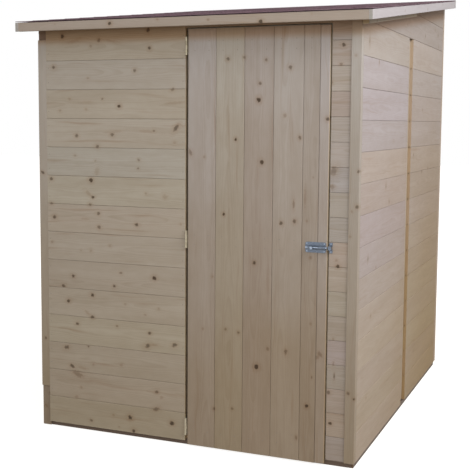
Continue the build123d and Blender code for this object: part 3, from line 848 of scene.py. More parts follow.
def makeTimbers(
    name, timbers, look, seed, replaced, body="shed", knots=None, tint=None, tints=None,
    wear=0.0012,
):
    # timbers: (facing or matrix, origin, length, width, depth, cuts)
    source = random.Random(seed)
    bm = bmesh.new()
    bm.verts.layers.float_vector.new("grain")
    for key in ("shift", "tone", "board"):
        bm.verts.layers.float.new(key)
    bm.faces.layers.float.new("endGrain")
    details = []
    for number, (facing, origin, length, width, depth, cuts) in enumerate(timbers):
        matrix = placing(facing, origin) if isinstance(facing, str) else facing
        addTimber(bm, matrix, length, width, depth, number, source, wear, cuts)
        details.append({
            "knots": (knots or {}).get(number) or looseKnots(source, length, width, "timber"),
            "tint": (tints or {}).get(number) or tint or looseTint(source),
        })
    mesh = bpy.data.meshes.new(name)
    bm.to_mesh(mesh)
    bm.free()
    writeWood(mesh, details)
    return finishPiece(name, mesh, body, replaced, wood[look])


def uprightTimber(x0, x1, y0, y1, z0, z1, cuts=()):
    # a post or stud: the grain runs up
    return ("upright", (x1, y0, z0), z1 - z0, x1 - x0, y1 - y0, cuts)


def levelTimber(x0, x1, y0, y1, z0, z1, cuts=()):
    # a rail along X
    return ("front", (x0, y0, z0), x1 - x0, z1 - z0, y1 - y0, cuts)


def deepTimber(x0, x1, y0, y1, z0, z1, cuts=()):
    # a rail along Y
    return ("right", (x1, y0, z0), y1 - y0, z1 - z0, x1 - x0, cuts)


def slopedTimber(low, high):
    # a rail along Y that follows the roof and fills its box
    length = high.y - low.y
    return ("alongRoof", (high.x, low.y, low.z), length, high.z - low.z - roofSlope * length, high.x - low.x, ())


section = {"stud": 0.044, "jointStud": 0.072, "rail": 0.044, "middle": 0.971, "floorTop": 0.046, "cornerX": 0.78}

# node, axis, first and last stud, seed
frames = {
    "frontLeftFrame": ("front_left_frame", "x", "stud", "stud", 31),
    "rightFrontFrame": ("right_front_frame", "y", "stud", "jointStud", 32),
    "rightRearFrame": ("right_rear_frame", "y", "jointStud", "stud", 33),
    "leftFrontFrame": ("left_front_frame", "y", "stud", "jointStud", 34),
    "leftRearFrame": ("left_rear_frame", "y", "jointStud", "stud", 35),
    "rearLeftFrame": ("rear_left_frame", "x", "stud", "jointStud", 36),
    "rearRightFrame": ("rear_right_frame", "x", "jointStud", "stud", 37),
}
for frameName, (node, axis, firstStud, lastStud, seed) in frames.items():
    low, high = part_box(node)
    first, last, rail, foot = section[firstStud], section[lastStud], section["rail"], section["floorTop"]
    middle = section["middle"] - rail / 2
    if axis == "x":
        footLeft = low.z if low.x < -section["cornerX"] else foot
        footRight = low.z if high.x > section["cornerX"] else foot
        timbers = [
            uprightTimber(low.x, low.x + first, low.y, high.y, footLeft, high.z),
            uprightTimber(high.x - last, high.x, low.y, high.y, footRight, high.z),
        ]
    else:
        timbers = [
            uprightTimber(low.x, high.x, low.y, low.y + first, foot, high.z),
            uprightTimber(low.x, high.x, high.y - last, high.y, foot, high.z),
        ]
    for z0 in (foot, middle, high.z - rail):
        z1 = high.z if z0 == high.z - rail else z0 + rail
        if axis == "x":
            timbers.append(levelTimber(low.x + first, high.x - last, low.y, high.y, z0, z1))
        else:
            timbers.append(deepTimber(low.x, high.x, low.y + first, high.y - last, z0, z1))
    makeTimbers(frameName, timbers, "frameSpruce", seed, (node,))

# the jamb that the bolt side of the door shuts on, its backing stud and the rails between them
low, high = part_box("front_right_frame")
jambEdge = low.x + section["stud"]
backEdge = high.x - section["stud"]
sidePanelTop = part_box("right_front_frame")[1].z
timbers = [
    uprightTimber(low.x, jambEdge, low.y, high.y, low.z, high.z, (roofCut,)),
    uprightTimber(backEdge, high.x, low.y, high.y, low.z, high.z, (roofCut,)),
]
for z0 in (low.z, section["middle"], sidePanelTop - section["rail"]):
    timbers.append(levelTimber(jambEdge, backEdge, low.y, high.y, z0, z0 + section["rail"]))
makeTimbers("doorJambFrame", timbers, "frameSpruce", 41, ("front_right_frame",))

headRail = {"rebate": 0.006}
low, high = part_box("door_head_rail")
boardLow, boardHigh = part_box("door_head_board")
timbers = [
    levelTimber(low.x, high.x, low.y + headRail["rebate"], high.y, low.z, high.z, (roofCut,)),
    levelTimber(low.x, high.x, low.y, low.y + headRail["rebate"], boardLow.z, high.z, (roofCut,)),
]
makeTimbers("doorHeadRail", timbers, "frameSpruce", 42, ("door_head_rail",))
timbers = [levelTimber(boardLow.x, boardHigh.x, boardLow.y, boardHigh.y, boardLow.z, boardHigh.z, (roofCut,))]
# the head board is tinted darker and warmer than the door: painted shade under the roof
makeTimbers(
    "doorHeadBoard", timbers, "doorSpruce", 43, ("door_head_board",),
    tint=(-0.15, 0.8, 0.4),
)

posts = {
    "rightCornerPost": {
        "node": "front_right_corner_post", "seed": 44, "tint": (0.0, 0.2, 0.1), "slot": "spruce_frame",
        "look": "postSpruce",
        "knots": (
            (788, 1290, 6, 0.6), (785, 1140, 8, 0.6), (763, 1120, 5, 0.35), (763, 330, 7, 0.6), (788, 306, 5, 0.8),
            (768, 1775, 6, 0.3), (757, 1013, 5, 0.3),
        ),
    },
    "leftCornerPost": {
        "node": "front_left_corner_post", "seed": 45, "tint": (-0.10, 0.2, 0.6), "slot": "spruce_frame",
        "look": "postSpruce", "knots": (),
    },
    "leftCornerTrim": {
        "node": "front_left_corner_trim", "seed": 46, "tint": (0.0, -0.2, 0.2), "slot": "spruce_boards",
        "look": "trimSpruce", "knots": ((-774, 1246, 7, 0.7, 60, 1.6), (-768, 431, 7, 0.6)),
    },
}
# painted shade: the left post's head above its trim is tinted dark for the roof's shadow on it
postHeadShade = (-0.42, 0.8, 2.4)  # the left post above its trim
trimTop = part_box("front_left_corner_trim")[1].z
for postName, post in posts.items():
    low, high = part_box(post["node"])
    knots = [
        ((z + knotDatum) * mm - low.z, high.x - x * mm, radius * mm, *shape) for x, z, radius, *shape in post["knots"]
    ]
    levels = (low.z, trimTop, high.z) if postName == "leftCornerPost" else (low.z, high.z)
    timbers = [uprightTimber(low.x, high.x, low.y, high.y, z0, z1, (roofCut,)) for z0, z1 in zip(levels, levels[1:])]
    makeTimbers(
        postName, timbers, post["look"], post["seed"], (post["node"],),
        knots={0: knots} if knots else None, tint=post["tint"], tints={1: postHeadShade},
    )

bearers = {"count": 5, "width": 0.045, "strip": 0.009, "stripTop": 0.024, "stripShadeTint": (-0.35, 0.0, 0.0)}
low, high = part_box("floor_bearers")
width = bearers["width"]
pitch = (high.y - low.y - width) / (bearers["count"] - 1)
timbers = []
for number in range(bearers["count"]):
    y0 = low.y + number * pitch
    inset = 0.0 if number in (0, bearers["count"] - 1) else width
    timbers.append(levelTimber(low.x + inset, high.x - inset, y0, y0 + width, low.z, high.z))
for x0 in (low.x, high.x - width):
    timbers.append(deepTimber(x0, x0 + width, low.y + width, high.y - width, low.z, high.z))
solidCount = len(timbers)
# a thin strip outside each side bearer, under the wall boards, tinted darker than the bearers: painted shade for the
# dark line under the side walls
for x0 in (low.x - bearers["strip"], high.x):
    timbers.append(deepTimber(x0, x0 + bearers["strip"], low.y, high.y, low.z, bearers["stripTop"]))
stripShadeTints = {number: bearers["stripShadeTint"] for number in range(solidCount, len(timbers))}
makeTimbers("floorBearers", timbers, "darkTimber", 47, ("floor_bearers",), tints=stripShadeTints)
print("frames and posts placed")


# floor and roof boarding

def makeDeck(name, node, boards, facing, origin, length, count, thickness, cut, seed, look):
    mesh = makeRow(boards, length, count, thickness, seed, look)
    mesh.transform(placing(facing, origin))
    trimMesh(mesh, [cut])
    source = random.Random(seed)
    cover = boards["cover"]
    details = [
        {"knots": looseKnots(source, length, cover, "deck"), "tint": looseTint(source)} for _ in range(count)
    ]
    writeWood(mesh, details)
    markEnds(mesh, facing)
    return finishPiece(name, mesh, replaced=(node,))


floorBoards = {"cover": 0.121, "bevel": 0.0015, "gap": 0.001}
roofBoards = {"cover": 0.121, "bevel": 0.0025, "gap": 0.001}
low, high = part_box("floor_deck")
count = math.ceil((high.x - low.x) / floorBoards["cover"])
makeDeck(
    "floorBoards", "floor_deck", floorBoards, "floor", (high.x, low.y, high.z), high.y - low.y, count,
    high.z - low.z, cutPlane(0, low.x, -1), 51, "frameSpruce",
)
for name, node, seed in (("roofBoardsFront", "roof_deck_front", 52), ("roofBoardsRear", "roof_deck_rear", 53)):
    low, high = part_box(node)
    length = high.y - low.y
    count = math.ceil((high.x - low.x) / roofBoards["cover"])
    thickness = high.z - low.z - roofSlope * length
    makeDeck(
        name, node, roofBoards, "roof", low, length, count, thickness, cutPlane(0, high.x, 1), seed, "roofSpruce",
    )

battens = {
    "width": 0.028, "height": 0.044, "gap": 0.004, "side": 0.749, "starts": (-0.896, -0.022, 0.010, 0.964),
    "eavesLengths": (0.723, 0.263), "leftSetBack": 0.05,
}
width, height = battens["width"], battens["height"]
low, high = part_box("roof_battens")
timbers = []
for y0 in battens["starts"]:
    origin = (-battens["side"], y0, deckUnder(y0) - height)
    timbers.append(("acrossRoof", origin, 2 * battens["side"], height, width, ()))
for x in (low.x + width, high.x):
    y0 = low.y
    for length in battens["eavesLengths"]:
        # on the left the first piece begins behind the front wall
        back = battens["leftSetBack"] if x < 0 and y0 == low.y else 0.0
        origin = (x, y0 + back, deckUnder(y0 + back) - height)
        timbers.append(("alongRoof", origin, length - back, height, width, ()))
        y0 += length + battens["gap"]
makeTimbers("roofBattens", timbers, "roofSpruce", 54, ("roof_battens",))
for name, node, seed in (("rightGableRail", "right_gable_rail", 55), ("leftGableRail", "left_gable_rail", 56)):
    makeTimbers(name, [slopedTimber(*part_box(node))], "frameSpruce", seed, (node,))

# knots: across the shed and height over the ground, or along and across the board; radius in mm, darkness
fasciaKnots = (
    (-351, 1943, 8, 1.0), (-113, 1954, 6, 0.4), (133, 1944, 6, 0.4), (375, 1927, 9, 0.9), (-640, 1950, 4, 0.3),
    (600, 1952, 4, 0.25),
)
sideFasciaKnots = ((620, 20, 5, 0.35), (1180, 14, 6, 0.4), (1630, 28, 5, 0.35))
low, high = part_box("front_fascia")
knots = [(x * mm - low.x, z * mm - low.z, radius * mm, darkness) for x, z, radius, darkness in fasciaKnots]
makeTimbers(
    "frontFascia", [levelTimber(low.x, high.x, low.y, high.y, low.z, high.z)], "fasciaSpruce", 57,
    ("front_fascia",), knots={0: knots}, tint=(0.0, 0.2, 0.0),
)
knots = [(along * mm, across * mm, radius * mm, darkness) for along, across, radius, darkness in sideFasciaKnots]
for name, node, seed in (("rightFascia", "right_fascia", 58), ("leftFascia", "left_fascia", 59)):
    makeTimbers(
        name, [slopedTimber(*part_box(node))], "sideFasciaSpruce", seed, (node,),
        knots={0: knots}, tint=(0.0, 0.0, 0.0),
    )
print("floor, roof boarding and fascias placed")


# shingles

shingles = {
    "width": 0.333, "slot": 0.006, "exposure": 0.145, "lap": 0.012, "thickness": 0.003, "lift": 0.0038, "seed": 61,
    "sheet": 0.0006, "jitter": 0.002,
}
# granules, clouds and the marks of rain: cycles a metre and where each begins and ends, then its amount
feltLook = {
    "color": (0.216, 0.137, 0.160), "dark": (0.088, 0.056, 0.066), "pale": (0.320, 0.250, 0.270),
    "granules": (520.0, (0.38, 0.62)), "clouds": (5.0, (0.5, 0.75), 0.35), "rain": (16.0, 1.6, (0.55, 0.7), 0.6),
    "ownShade": 0.35,
}


def buildShingleField():
    # felt tabs in courses: X along a course, Y up the slope
    tree, take, made = newGroup(
        "shingleField", "GeometryNodeTree",
        {
            "Geometry": "Geometry", "Width": 0.333, "Slot": 0.006, "Exposure": 0.145, "Lap": 0.012,
            "Thickness": 0.003, "Lift": 0.004, "Columns": 6, "Courses": 14, "Seed": 1, "Tab Material": "Material",
        },
        {"Geometry": "Geometry"},
    )
    width, exposure, thickness, seed = (take[name] for name in ("Width", "Exposure", "Thickness", "Seed"))
    run = exposure + take["Lap"]
    tab = cubeMesh(tree, combine(tree, width - take["Slot"], run, thickness))
    tab = moveMesh(tree, tab, combine(tree, 0.0, run * 0.5, thickness * 0.5))
    fall = calc(tree, "ARCTANGENT", take["Lift"] / exposure) * -1.0
    tab = moveMesh(tree, tab, combine(tree, 0.0, 0.0, take["Lift"]), combine(tree, fall))
    points = placeNode(tree, "GeometryNodeMeshLine", {"Count": take["Columns"] * take["Courses"]}, mode="OFFSET")
    index = placeNode(tree, "GeometryNodeInputIndex")
    course = calc(tree, "FLOOR", (index + 0.5) / take["Columns"])
    column = index - course * take["Columns"]
    jitter = shingles["jitter"]
    x = (column + calc(tree, "MODULO", course, 2.0) * 0.5) * width + randomFor(tree, -jitter, jitter, seed)
    y = course * exposure + randomFor(tree, 0.0, jitter, seed + 1.0)
    points = placeNode(tree, "GeometryNodeSetPosition", {"Geometry": points, "Position": combine(tree, x, y, 0.0)})
    tabs = storeValue(tree, instanceOn(tree, points, tab), "shift", randomFor(tree, 0.0, 1.0, seed + 2.0))
    return finishTree(tree, tabs, made, take["Tab Material"])


def buildFelt():
    material, tree, shader = newMaterial("burgundyFelt", 0.9, 0.2)
    place = objectPlace(tree)
    granuleScale, granuleFrom = feltLook["granules"]
    cloudScale, cloudFrom, cloudAmount = feltLook["clouds"]
    rainAcross, rainAlong, rainFrom, rainAmount = feltLook["rain"]
    granule = noiseOf(tree, place, granuleScale, 2.0, 0.7)
    cloud = noiseOf(tree, place, cloudScale, 3.0)
    at = separate(tree, place)
    runs = noiseOf(tree, combine(tree, at[0] * rainAcross, at[1] * rainAlong, 0.0))
    dark, main, pale = (solid(feltLook[name]) for name in ("dark", "color", "pale"))
    color = blendColor(tree, granule.remap(*granuleFrom), dark, main)
    color = blendColor(tree, readAttribute(tree, "shift") * feltLook["ownShade"], color, dark)
    color = blendColor(tree, cloud.remap(*cloudFrom) * cloudAmount, color, pale)
    color = blendColor(tree, runs.remap(*rainFrom) * rainAmount, color, dark)
    feed(tree, shader.inputs["Base Color"], color)
    addBump(tree, shader, granule, 0.5, 0.0012)
    return material


felt = buildFelt()
low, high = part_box("roof_shingles")
deckTop = deckUnder(low.y) + deckHigh.z - deckLow.z - roofSlope * (deckHigh.y - deckLow.y)
mesh = runTree(buildShingleField(), {
    "Width": shingles["width"], "Slot": shingles["slot"], "Exposure": shingles["exposure"], "Lap": shingles["lap"],
    "Thickness": shingles["thickness"], "Lift": shingles["lift"], "Seed": shingles["seed"], "Tab Material": felt,
    "Columns": math.ceil((high.x - low.x) / shingles["width"]) + 2,
    "Courses": math.ceil((high.y - low.y) / shingles["exposure"]),
})
startX = low.x - shingles["width"] / 3
mesh.transform(Matrix(((1, 0, 0, startX), (0, 1, 0, low.y), (0, roofSlope, 1, deckTop), (0, 0, 0, 1))))
trimMesh(mesh, [cutPlane(0, low.x, -1), cutPlane(0, high.x, 1), cutPlane(1, high.y, 1)])
# the sheet under the tabs
bm = bmesh.new()
bm.from_mesh(mesh)
sheet = bmesh.ops.create_cube(bm, size=1.0)
for vertex in sheet["verts"]:
    x = low.x if vertex.co.x < 0 else high.x
    y = low.y if vertex.co.y < 0 else high.y
    vertex.co = Vector((x, y, deckTop + roofSlope * (y - low.y) + (shingles["sheet"] if vertex.co.z > 0 else 0.0)))
bm.to_mesh(mesh)
bm.free()
finishPiece("roofShingles", mesh, replaced=("roof_shingles",), material=felt)
print("shingles laid")


# the door

door = {  # tints: of each board from the bolt's side
    "cover": 0.136, "bevel": 0.0025, "gap": 0.0005, "edgeStrip": 0.045, "overlap": 0.004, "seed": 71,
    "tints": ((-0.02, 0.3, 0.4), (0.02, 0.0, 0.1), (-0.03, 0.3, 0.6), (0.0, 0.7, -0.2), (0.05, -0.2, 0.2)),
    "edgeTint": (0.06, -0.5, 0.2), "gapBounceTint": (-0.08, 3.0, 0.8), "edgeWear": 0.003,
}
doorKnots = (
    (10, 1356, 8, 0.5, 20, 2.0), (78, 1337, 6, 0.35), (190, 1771, 8, 0.65), (230, 1418, 7, 0.9), (174, 1083, 7, 0.9),
    (163, 1230, 4, 0.3), (267, 1776, 7, 0.5), (370, 1763, 7, 0.55), (342, 1663, 7, 0.6), (337, 1592, 10, 1.0),
    (353, 1320, 9, 0.85), (342, 1458, 5, 0.3), (342, 1093, 7, 0.3), (480, 1729, 9, 0.6), (458, 1524, 9, 0.4),
    (505, 1540, 6, 0.4), (527, 1429, 8, 0.6), (535, 1836, 6, 0.35), (503, 1140, 6, 0.45, 0, 4.0), (447, 1056, 9, 0.7),
    (508, 1066, 9, 0.65), (508, 1095, 5, 0.4, 0, 3.5), (565, 1070, 6, 0.3), (590, 1260, 5, 0.3), (650, 1510, 8, 0.75),
    (120, 797, 6, 0.3), (75, 553, 7, 0.3), (133, 184, 7, 0.55), (188, 560, 7, 0.5), (249, 551, 7, 0.6),
    (212, 572, 5, 0.35), (221, 196, 7, 0.5), (322, 873, 8, 0.8), (338, 402, 11, 1.0), (390, 490, 7, 0.45),
    (345, 718, 6, 0.3), (475, 485, 9, 0.55, 0, 1.5), (431, 561, 6, 0.3), (517, 566, 6, 0.45),
    (530, 101, 6, 0.5, 0, 1.6), (588, 620, 7, 0.3), (575, 251, 8, 1.0), (597, 383, 4, 0.5, 0, 2.0), (583, 912, 8, 0.4),
    (632, 490, 9, 0.45, 40, 1.8), (620, 474, 8, 0.4, -40, 1.8), (555, 1175, 5, 0.3, 0, 9.0),
)
low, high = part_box("door_boards")
doorCount = math.ceil((high.x - low.x) / door["cover"])
stripEdge = high.x - door["edgeStrip"]
mesh = makeRow(door, high.z - low.z, doorCount, high.y - low.y, door["seed"], "doorSpruce")
# the row is stacked from the right, so its origin lies a whole number of boards right of the hinge edge
doorMatrix = placing("upright", (low.x + doorCount * door["cover"], low.y, low.z))
mesh.transform(doorMatrix)
trimMesh(mesh, [cutPlane(0, stripEdge, 1)])
boardKnots, stripKnotList = [], []
for x, z, radius, *shape in doorKnots:
    local = doorMatrix.inverted() @ Vector((x * mm, low.y, (z + knotDatum) * mm))
    if x * mm > stripEdge - door["overlap"]:
        stripKnotList.append((local.x, high.x - x * mm, radius * mm, *shape))
    if x * mm < stripEdge + door["overlap"]:
        boardKnots.append((local.x, local.z, radius * mm, *shape))
details = [{"knots": [], "tint": tint} for tint in door["tints"]]
sortKnots(details, boardKnots, door["cover"])
writeWood(mesh, details)
markEnds(mesh, "upright")
finishPiece("doorBoards", mesh, "door", ("door_boards",))
edgePiece = makeTimbers(
    "doorEdgeStrip", [uprightTimber(stripEdge, high.x, low.y, high.y, low.z, high.z)], "doorSpruce", 72, (), "door",
    {0: stripKnotList[:knotSlots]}, door["edgeTint"], wear=door["edgeWear"],
)
# painted warm bounce light in the gap: its edge, seen inside the gap, is tinted warmer and a little darker than its
# face
for vertex, item in zip(edgePiece.data.vertices, edgePiece.data.attributes["tint"].data):
    if vertex.co.x > high.x - 0.0005:
        item.vector = door["gapBounceTint"]

for level, seed in (("Top", 73), ("Middle", 74), ("Bottom", 75)):
    node = f"door_ledge_{level.lower()}"
    low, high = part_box(node)
    timbers = [levelTimber(low.x, high.x, low.y, high.y, low.z, high.z)]
    makeTimbers(f"doorLedge{level}", timbers, "frameSpruce", seed, (node,), "door")
braces = {"width": 0.070}
for level, seed in (("Upper", 76), ("Lower", 77)):
    node = f"door_brace_{level.lower()}"
    low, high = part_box(node)
    width, length = braces["width"], high.z - low.z
    lean = (high.x - low.x - width) / length
    matrix = Matrix(((lean, 0, -1, low.x + width), (0, 1, 0, low.y), (1, 0, 0, low.z), (0, 0, 0, 1)))
    timbers = [(matrix, None, length, width, high.y - low.y, ())]
    makeTimbers(f"doorBrace{level}", timbers, "frameSpruce", seed, (node,), "door")
print("door placed")


# ironmongery

metalForm = {"scratch": (40.0, 900.0, 900.0), "cloud": 60.0, "cloudFrom": (0.5, 0.8), "spangle": 0.4, "wear": 0.25}


def buildMetal(name, look):
    material, tree, shader = newMaterial(name, look["roughness"], 0.5, look["metallic"])
    place = objectPlace(tree)
    cells = placeNode(tree, "ShaderNodeTexVoronoi", {"Vector": place, "Scale": look["spangle"]}, "Color")
    scratch = noiseOf(tree, vectorCalc(tree, "MULTIPLY", place, metalForm["scratch"]))
    cloud = noiseOf(tree, place, metalForm["cloud"], 3.0)
    spangle = separate(tree, cells)[0].remap(0.0, 1.0, 0.0, metalForm["spangle"])
    color = blendColor(tree, spangle, solid(look["color"]), solid(look["second"]))
    color = blendColor(tree, cloud.remap(*metalForm["cloudFrom"]) * look["dull"], color, solid(look["dirt"]))
    feed(tree, shader.inputs["Base Color"], color)
    feed(tree, shader.inputs["Roughness"], (cloud - 0.5) * metalForm["wear"] + look["roughness"])
    addBump(tree, shader, scratch, 0.12, 0.0002)
    return material


metalLooks = {
    "zincPlate": {
        # the plate and keeper colours are darker than the rod's: painted shade over the zinc's own tone
        "color": (0.105, 0.128, 0.166), "second": (0.165, 0.200, 0.262), "dirt": (0.075, 0.082, 0.090), "dull": 0.5,
        "roughness": 0.42, "metallic": 0.75, "spangle": 240.0,
    },
    "zincRod": {
        "color": (0.250, 0.300, 0.380), "second": (0.330, 0.385, 0.470), "dirt": (0.085, 0.092, 0.100), "dull": 0.4,
        "roughness": 0.34, "metallic": 0.8, "spangle": 160.0,
    },
    "hingeBrass": {
        "color": (0.300, 0.262, 0.185), "second": (0.440, 0.400, 0.320), "dirt": (0.130, 0.100, 0.060), "dull": 0.6,
        "roughness": 0.5, "metallic": 0.6, "spangle": 220.0,
    },
    "nailSteel": {
        "color": (0.200, 0.175, 0.150), "second": (0.260, 0.235, 0.205), "dirt": (0.120, 0.090, 0.065), "dull": 0.6,
        "roughness": 0.6, "metallic": 0.3, "spangle": 400.0,
    },
}
metal = {name: buildMetal(name, look) for name, look in metalLooks.items()}
kept = {
    "bolt_housing": "zincPlate", "bolt_keeper": "zincPlate", "bolt_rod": "zincRod",
    "hinge_fixed_leaves": "hingeBrass", "hinge_door_leaves": "hingeBrass",
}
for node, name in kept.items():
    nodes[node].data.materials.clear()
    nodes[node].data.materials.append(metal[name])


# shares of a head's height: rise and cut; of its radius: top, slotLength and slotWidth
headForm = {"rise": 0.5, "cut": 1.6, "top": 0.7, "slotLength": 1.1, "slotWidth": 0.28}


def buildHeads():
    # a flat nail head, or a screw head with a cross recess, at every vertex, facing the vertex's "facing"
    tree, take, made = newGroup(
        "fastenerHeads", "GeometryNodeTree",
        {
            "Geometry": "Geometry", "Radius": 0.003, "Height": 0.001, "Recess": 0.0, "Sides": 10, "Seed": 1,
            "Head Material": "Material",
        },
        {"Geometry": "Geometry"},
    )
    radius, height, recess = (take[name] for name in ("Radius", "Height", "Recess"))
    cylinder = {"Vertices": take["Sides"], "Radius": radius, "Depth": height * 2.0}
    disc = placeNode(tree, "GeometryNodeMeshCylinder", cylinder, None)
    rise = height * headForm["rise"]
    crown = raiseFaces(tree, disc["Mesh"], disc["Top"], rise, "UNIFORM", {"Scale": headForm["top"]})
    reach = recess * radius
    long, short, top = reach * headForm["slotLength"], reach * headForm["slotWidth"], height * headForm["cut"]
    cutters = [
        moveMesh(tree, cubeMesh(tree, combine(tree, x, y, height)), combine(tree, 0.0, 0.0, top))
        for x, y in ((long, short), (short, long))
    ]
    meshes = {"Mesh 1": crown, "Mesh 2": cutters}
    recessed = placeNode(tree, "GeometryNodeMeshBoolean", meshes, operation="DIFFERENCE")
    choice = {"Switch": calc(tree, "GREATER_THAN", recess, 0.01), "False": crown, "True": recessed}
    head = placeNode(tree, "GeometryNodeSwitch", choice, input_type="GEOMETRY")
    named = {"Name": "facing"}
    facing = placeNode(tree, "GeometryNodeInputNamedAttribute", named, "Attribute", data_type="FLOAT_VECTOR")
    align = placeNode(tree, "FunctionNodeAlignRotationToVector", {"Vector": facing}, axis="Z")
    turn = {"Rotation": align, "Rotate By": combine(tree, 0.0, 0.0, randomFor(tree, 0.0, 3.14, take["Seed"]))}
    spin = placeNode(tree, "FunctionNodeRotateRotation", turn, rotation_space="LOCAL")
    return finishTree(tree, instanceOn(tree, take["Geometry"], head, rotation=spin), made, take["Head Material"])


heads = buildHeads()
nailLook = {"Radius": 0.0019, "Height": 0.0003, "Recess": 0.0, "Sides": 8}
screwLook = {"Radius": 0.0034, "Height": 0.0012, "Recess": 1.0, "Sides": 16}
nailPlaces = {"edge": 0.012, "across": (0.25, 0.75), "foot": 0.01, "top": 0.012, "ledge": 0.025, "ledgeEnd": 0.005}
frontwards = (0.0, -1.0, 0.0)


def makeHeads(name, places, facing, look, material, body, seed):
    start = bpy.data.meshes.new("places")
    start.from_pydata([Vector(p) for p in places], [], [])
    addValues(start, "facing", "FLOAT_VECTOR", list(facing) * len(places))
    mesh = runTree(heads, {**look, "Seed": seed, "Head Material": metal[material]}, start)
    return finishPiece(name, mesh, body)


def joinNailPlaces(node, axis, out):
    # two nails a board on every stud behind the panel
    low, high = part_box(node)
    cover, joint = wallBoards["cover"], wallBoards["joint"]
    level = joint - cover * math.ceil((joint - low.z) / cover)
    face = (low if out < 0 else high)[1 - axis]
    places = []
    while level < high.z:
        for part in nailPlaces["across"]:
            z = level + cover * part
            for at in (low[axis] + nailPlaces["edge"], high[axis] - nailPlaces["edge"]):
                place = (at, face, z) if axis == 0 else (face, at, z)
                if low.z + nailPlaces["foot"] <= z < min(high.z, deckUnder(place[1])) - nailPlaces["top"]:
                    places.append(place)
        level += cover
    return places


nailed = {  # node, the axis along the panel, and which way its outer face looks
    "frontLeftNails": ("front_left_cladding", 0, -1),
    "rightFrontNails": ("right_front_cladding", 1, 1),
    "rightRearNails": ("right_rear_cladding", 1, 1),
    "leftFrontNails": ("left_front_cladding", 1, -1),
    "leftRearNails": ("left_rear_cladding", 1, -1),
    "rearLeftNails": ("rear_left_cladding", 0, 1),
    "rearRightNails": ("rear_right_cladding", 0, 1),
}
for number, (name, (node, axis, out)) in enumerate(nailed.items()):
    facing = (0.0, float(out), 0.0) if axis == 0 else (float(out), 0.0, 0.0)
    makeHeads(name, joinNailPlaces(node, axis, out), facing, nailLook, "nailSteel", "shed", 80 + number)

low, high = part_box("door_boards")
places = []
for node in ("door_ledge_top", "door_ledge_middle", "door_ledge_bottom"):
    ledgeLow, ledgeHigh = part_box(node)
    for number in range(doorCount):
        for across in nailPlaces["across"]:
            x = low.x + door["cover"] * (number + across)
            if x < ledgeHigh.x - nailPlaces["ledgeEnd"]:
                places += [(x, low.y, z) for z in (ledgeLow.z + nailPlaces["ledge"], ledgeHigh.z - nailPlaces["ledge"])]
makeHeads("doorNails", places, frontwards, nailLook, "nailSteel", "door", 90)

plate = {"inset": 0.0065, "thickness": 0.002}
doorFace = low.y
low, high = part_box("bolt_housing")
inset = plate["inset"]
screwFace = doorFace - plate["thickness"]
places = [(x, screwFace, z) for x in (low.x + inset, high.x - inset) for z in (low.z + inset, high.z - inset)]
makeHeads("boltScrews", places, frontwards, screwLook, "zincRod", "door", 91)
low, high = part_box("bolt_keeper")
places = [((low.x + high.x) / 2, high.y - plate["thickness"], z) for z in (low.z + inset, high.z - inset)]
makeHeads("keeperScrews", places, frontwards, screwLook, "zincRod", "shed", 92)
print("ironmongery placed")


# floor, light and camera

studio = {
    "floorSize": 60.0, "floorTone": (0.42, 0.37, 0.31), "floorGlow": 0.86, "shadowReach": 1.6, "shadowFade": 1.5,
    "skyColor": (0.93, 0.96, 1.0), "skyStrength": 0.46,
    "lamps": {
        "keyLamp": {
            "location": (5.0, -2.2, 5.2), "target": (0.3, 0.0, 1.2), "size": 3.5, "power": 440.0,
            "color": (0.98, 0.98, 1.0),
        },
        "frontLamp": {
            "location": (1.3, -6.2, 3.0), "target": (0.0, -0.9, 1.1), "size": 4.0, "power": 155.0,
            "color": (1.0, 0.98, 0.95),
        },
    },
}
view = {
    "location": (1.7867, -4.8476, 1.5012), "heading": 22.120, "down": 5.692, "roll": 0.401, "lens": 72.431,
    "shift": (0.0118, -0.0382),
}


def whiteForCamera(tree):
    # seen directly, or mirrored in metal, the surroundings are white
    path = placeNode(tree, "ShaderNodeLightPath", output=None)
    return path["Is Camera Ray"].atLeast(path["Is Glossy Ray"]).atLeast(path["Is Transmission Ray"])


def stageObject(name, data):
    obj = bpy.data.objects.new(name, data)
    bpy.context.scene.collection.objects.link(obj)
    return obj


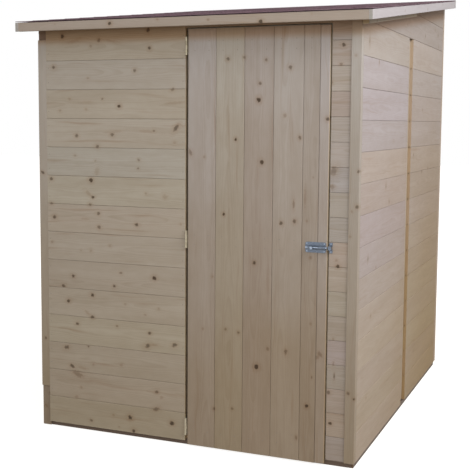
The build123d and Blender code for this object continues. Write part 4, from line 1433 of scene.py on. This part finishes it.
def addFloor():
    mesh = bpy.data.meshes.new("studioFloor")
    half, level = studio["floorSize"] / 2, -0.001
    corners = [(x * half, y * half, level) for x, y in ((-1, -1), (1, -1), (1, 1), (-1, 1))]
    mesh.from_pydata(corners, [], [(0, 1, 2, 3)])
    material, tree, shader = newMaterial("paleFloor", 0.9, 0.0)
    shader.inputs["Base Color"].default_value = solid(studio["floorTone"])
    shader.inputs["Emission Color"].default_value = white
    # white further off, and a little less near the shed, so that its shadow shows
    away = vectorCalc(tree, "LENGTH", objectPlace(tree))
    reach = studio["shadowReach"]
    glow = away.remap(reach, reach + studio["shadowFade"], studio["floorGlow"], 1.0)
    feed(tree, shader.inputs["Emission Strength"], whiteForCamera(tree) * glow)
    mesh.materials.append(material)
    obj = stageObject("studioFloor", mesh)


def addLamp(name, location, target, size, power, color):
    lamp = bpy.data.lights.new(name, "AREA")
    lamp.shape, lamp.size, lamp.energy, lamp.color = "SQUARE", size, power, color
    obj = stageObject(name, lamp)
    obj.location = location
    obj.rotation_euler = (Vector(target) - Vector(location)).to_track_quat("-Z", "Y").to_euler()


world = bpy.data.worlds.new("studioWorld")
bpy.context.scene.world = world
world.use_nodes = True
tree = world.node_tree
background = tree.nodes["Background"]
seen = whiteForCamera(tree)
feed(tree, background.inputs["Color"], blendColor(tree, seen, solid(studio["skyColor"]), white))
feed(tree, background.inputs["Strength"], seen.atLeast(studio["skyStrength"]))
addFloor()
for lampName, lamp in studio["lamps"].items():
    addLamp(lampName, **lamp)

camera = bpy.data.cameras.new("photoCamera")
camera.lens = view["lens"]
camera.sensor_width = 36.0
camera.sensor_fit = "HORIZONTAL"
camera.shift_x, camera.shift_y = view["shift"]
cameraObject = stageObject("photoCamera", camera)
turn = Matrix.Rotation(math.radians(view["heading"]), 4, "Z")
tilt = Matrix.Rotation(math.radians(90.0 - view["down"]), 4, "X")
roll = Matrix.Rotation(math.radians(view["roll"]), 4, "Z")
cameraObject.matrix_world = Matrix.Translation(view["location"]) @ turn @ tilt @ roll
bpy.context.scene.camera = cameraObject
bpy.context.scene.view_settings.view_transform = "Standard"
print("light and camera set")
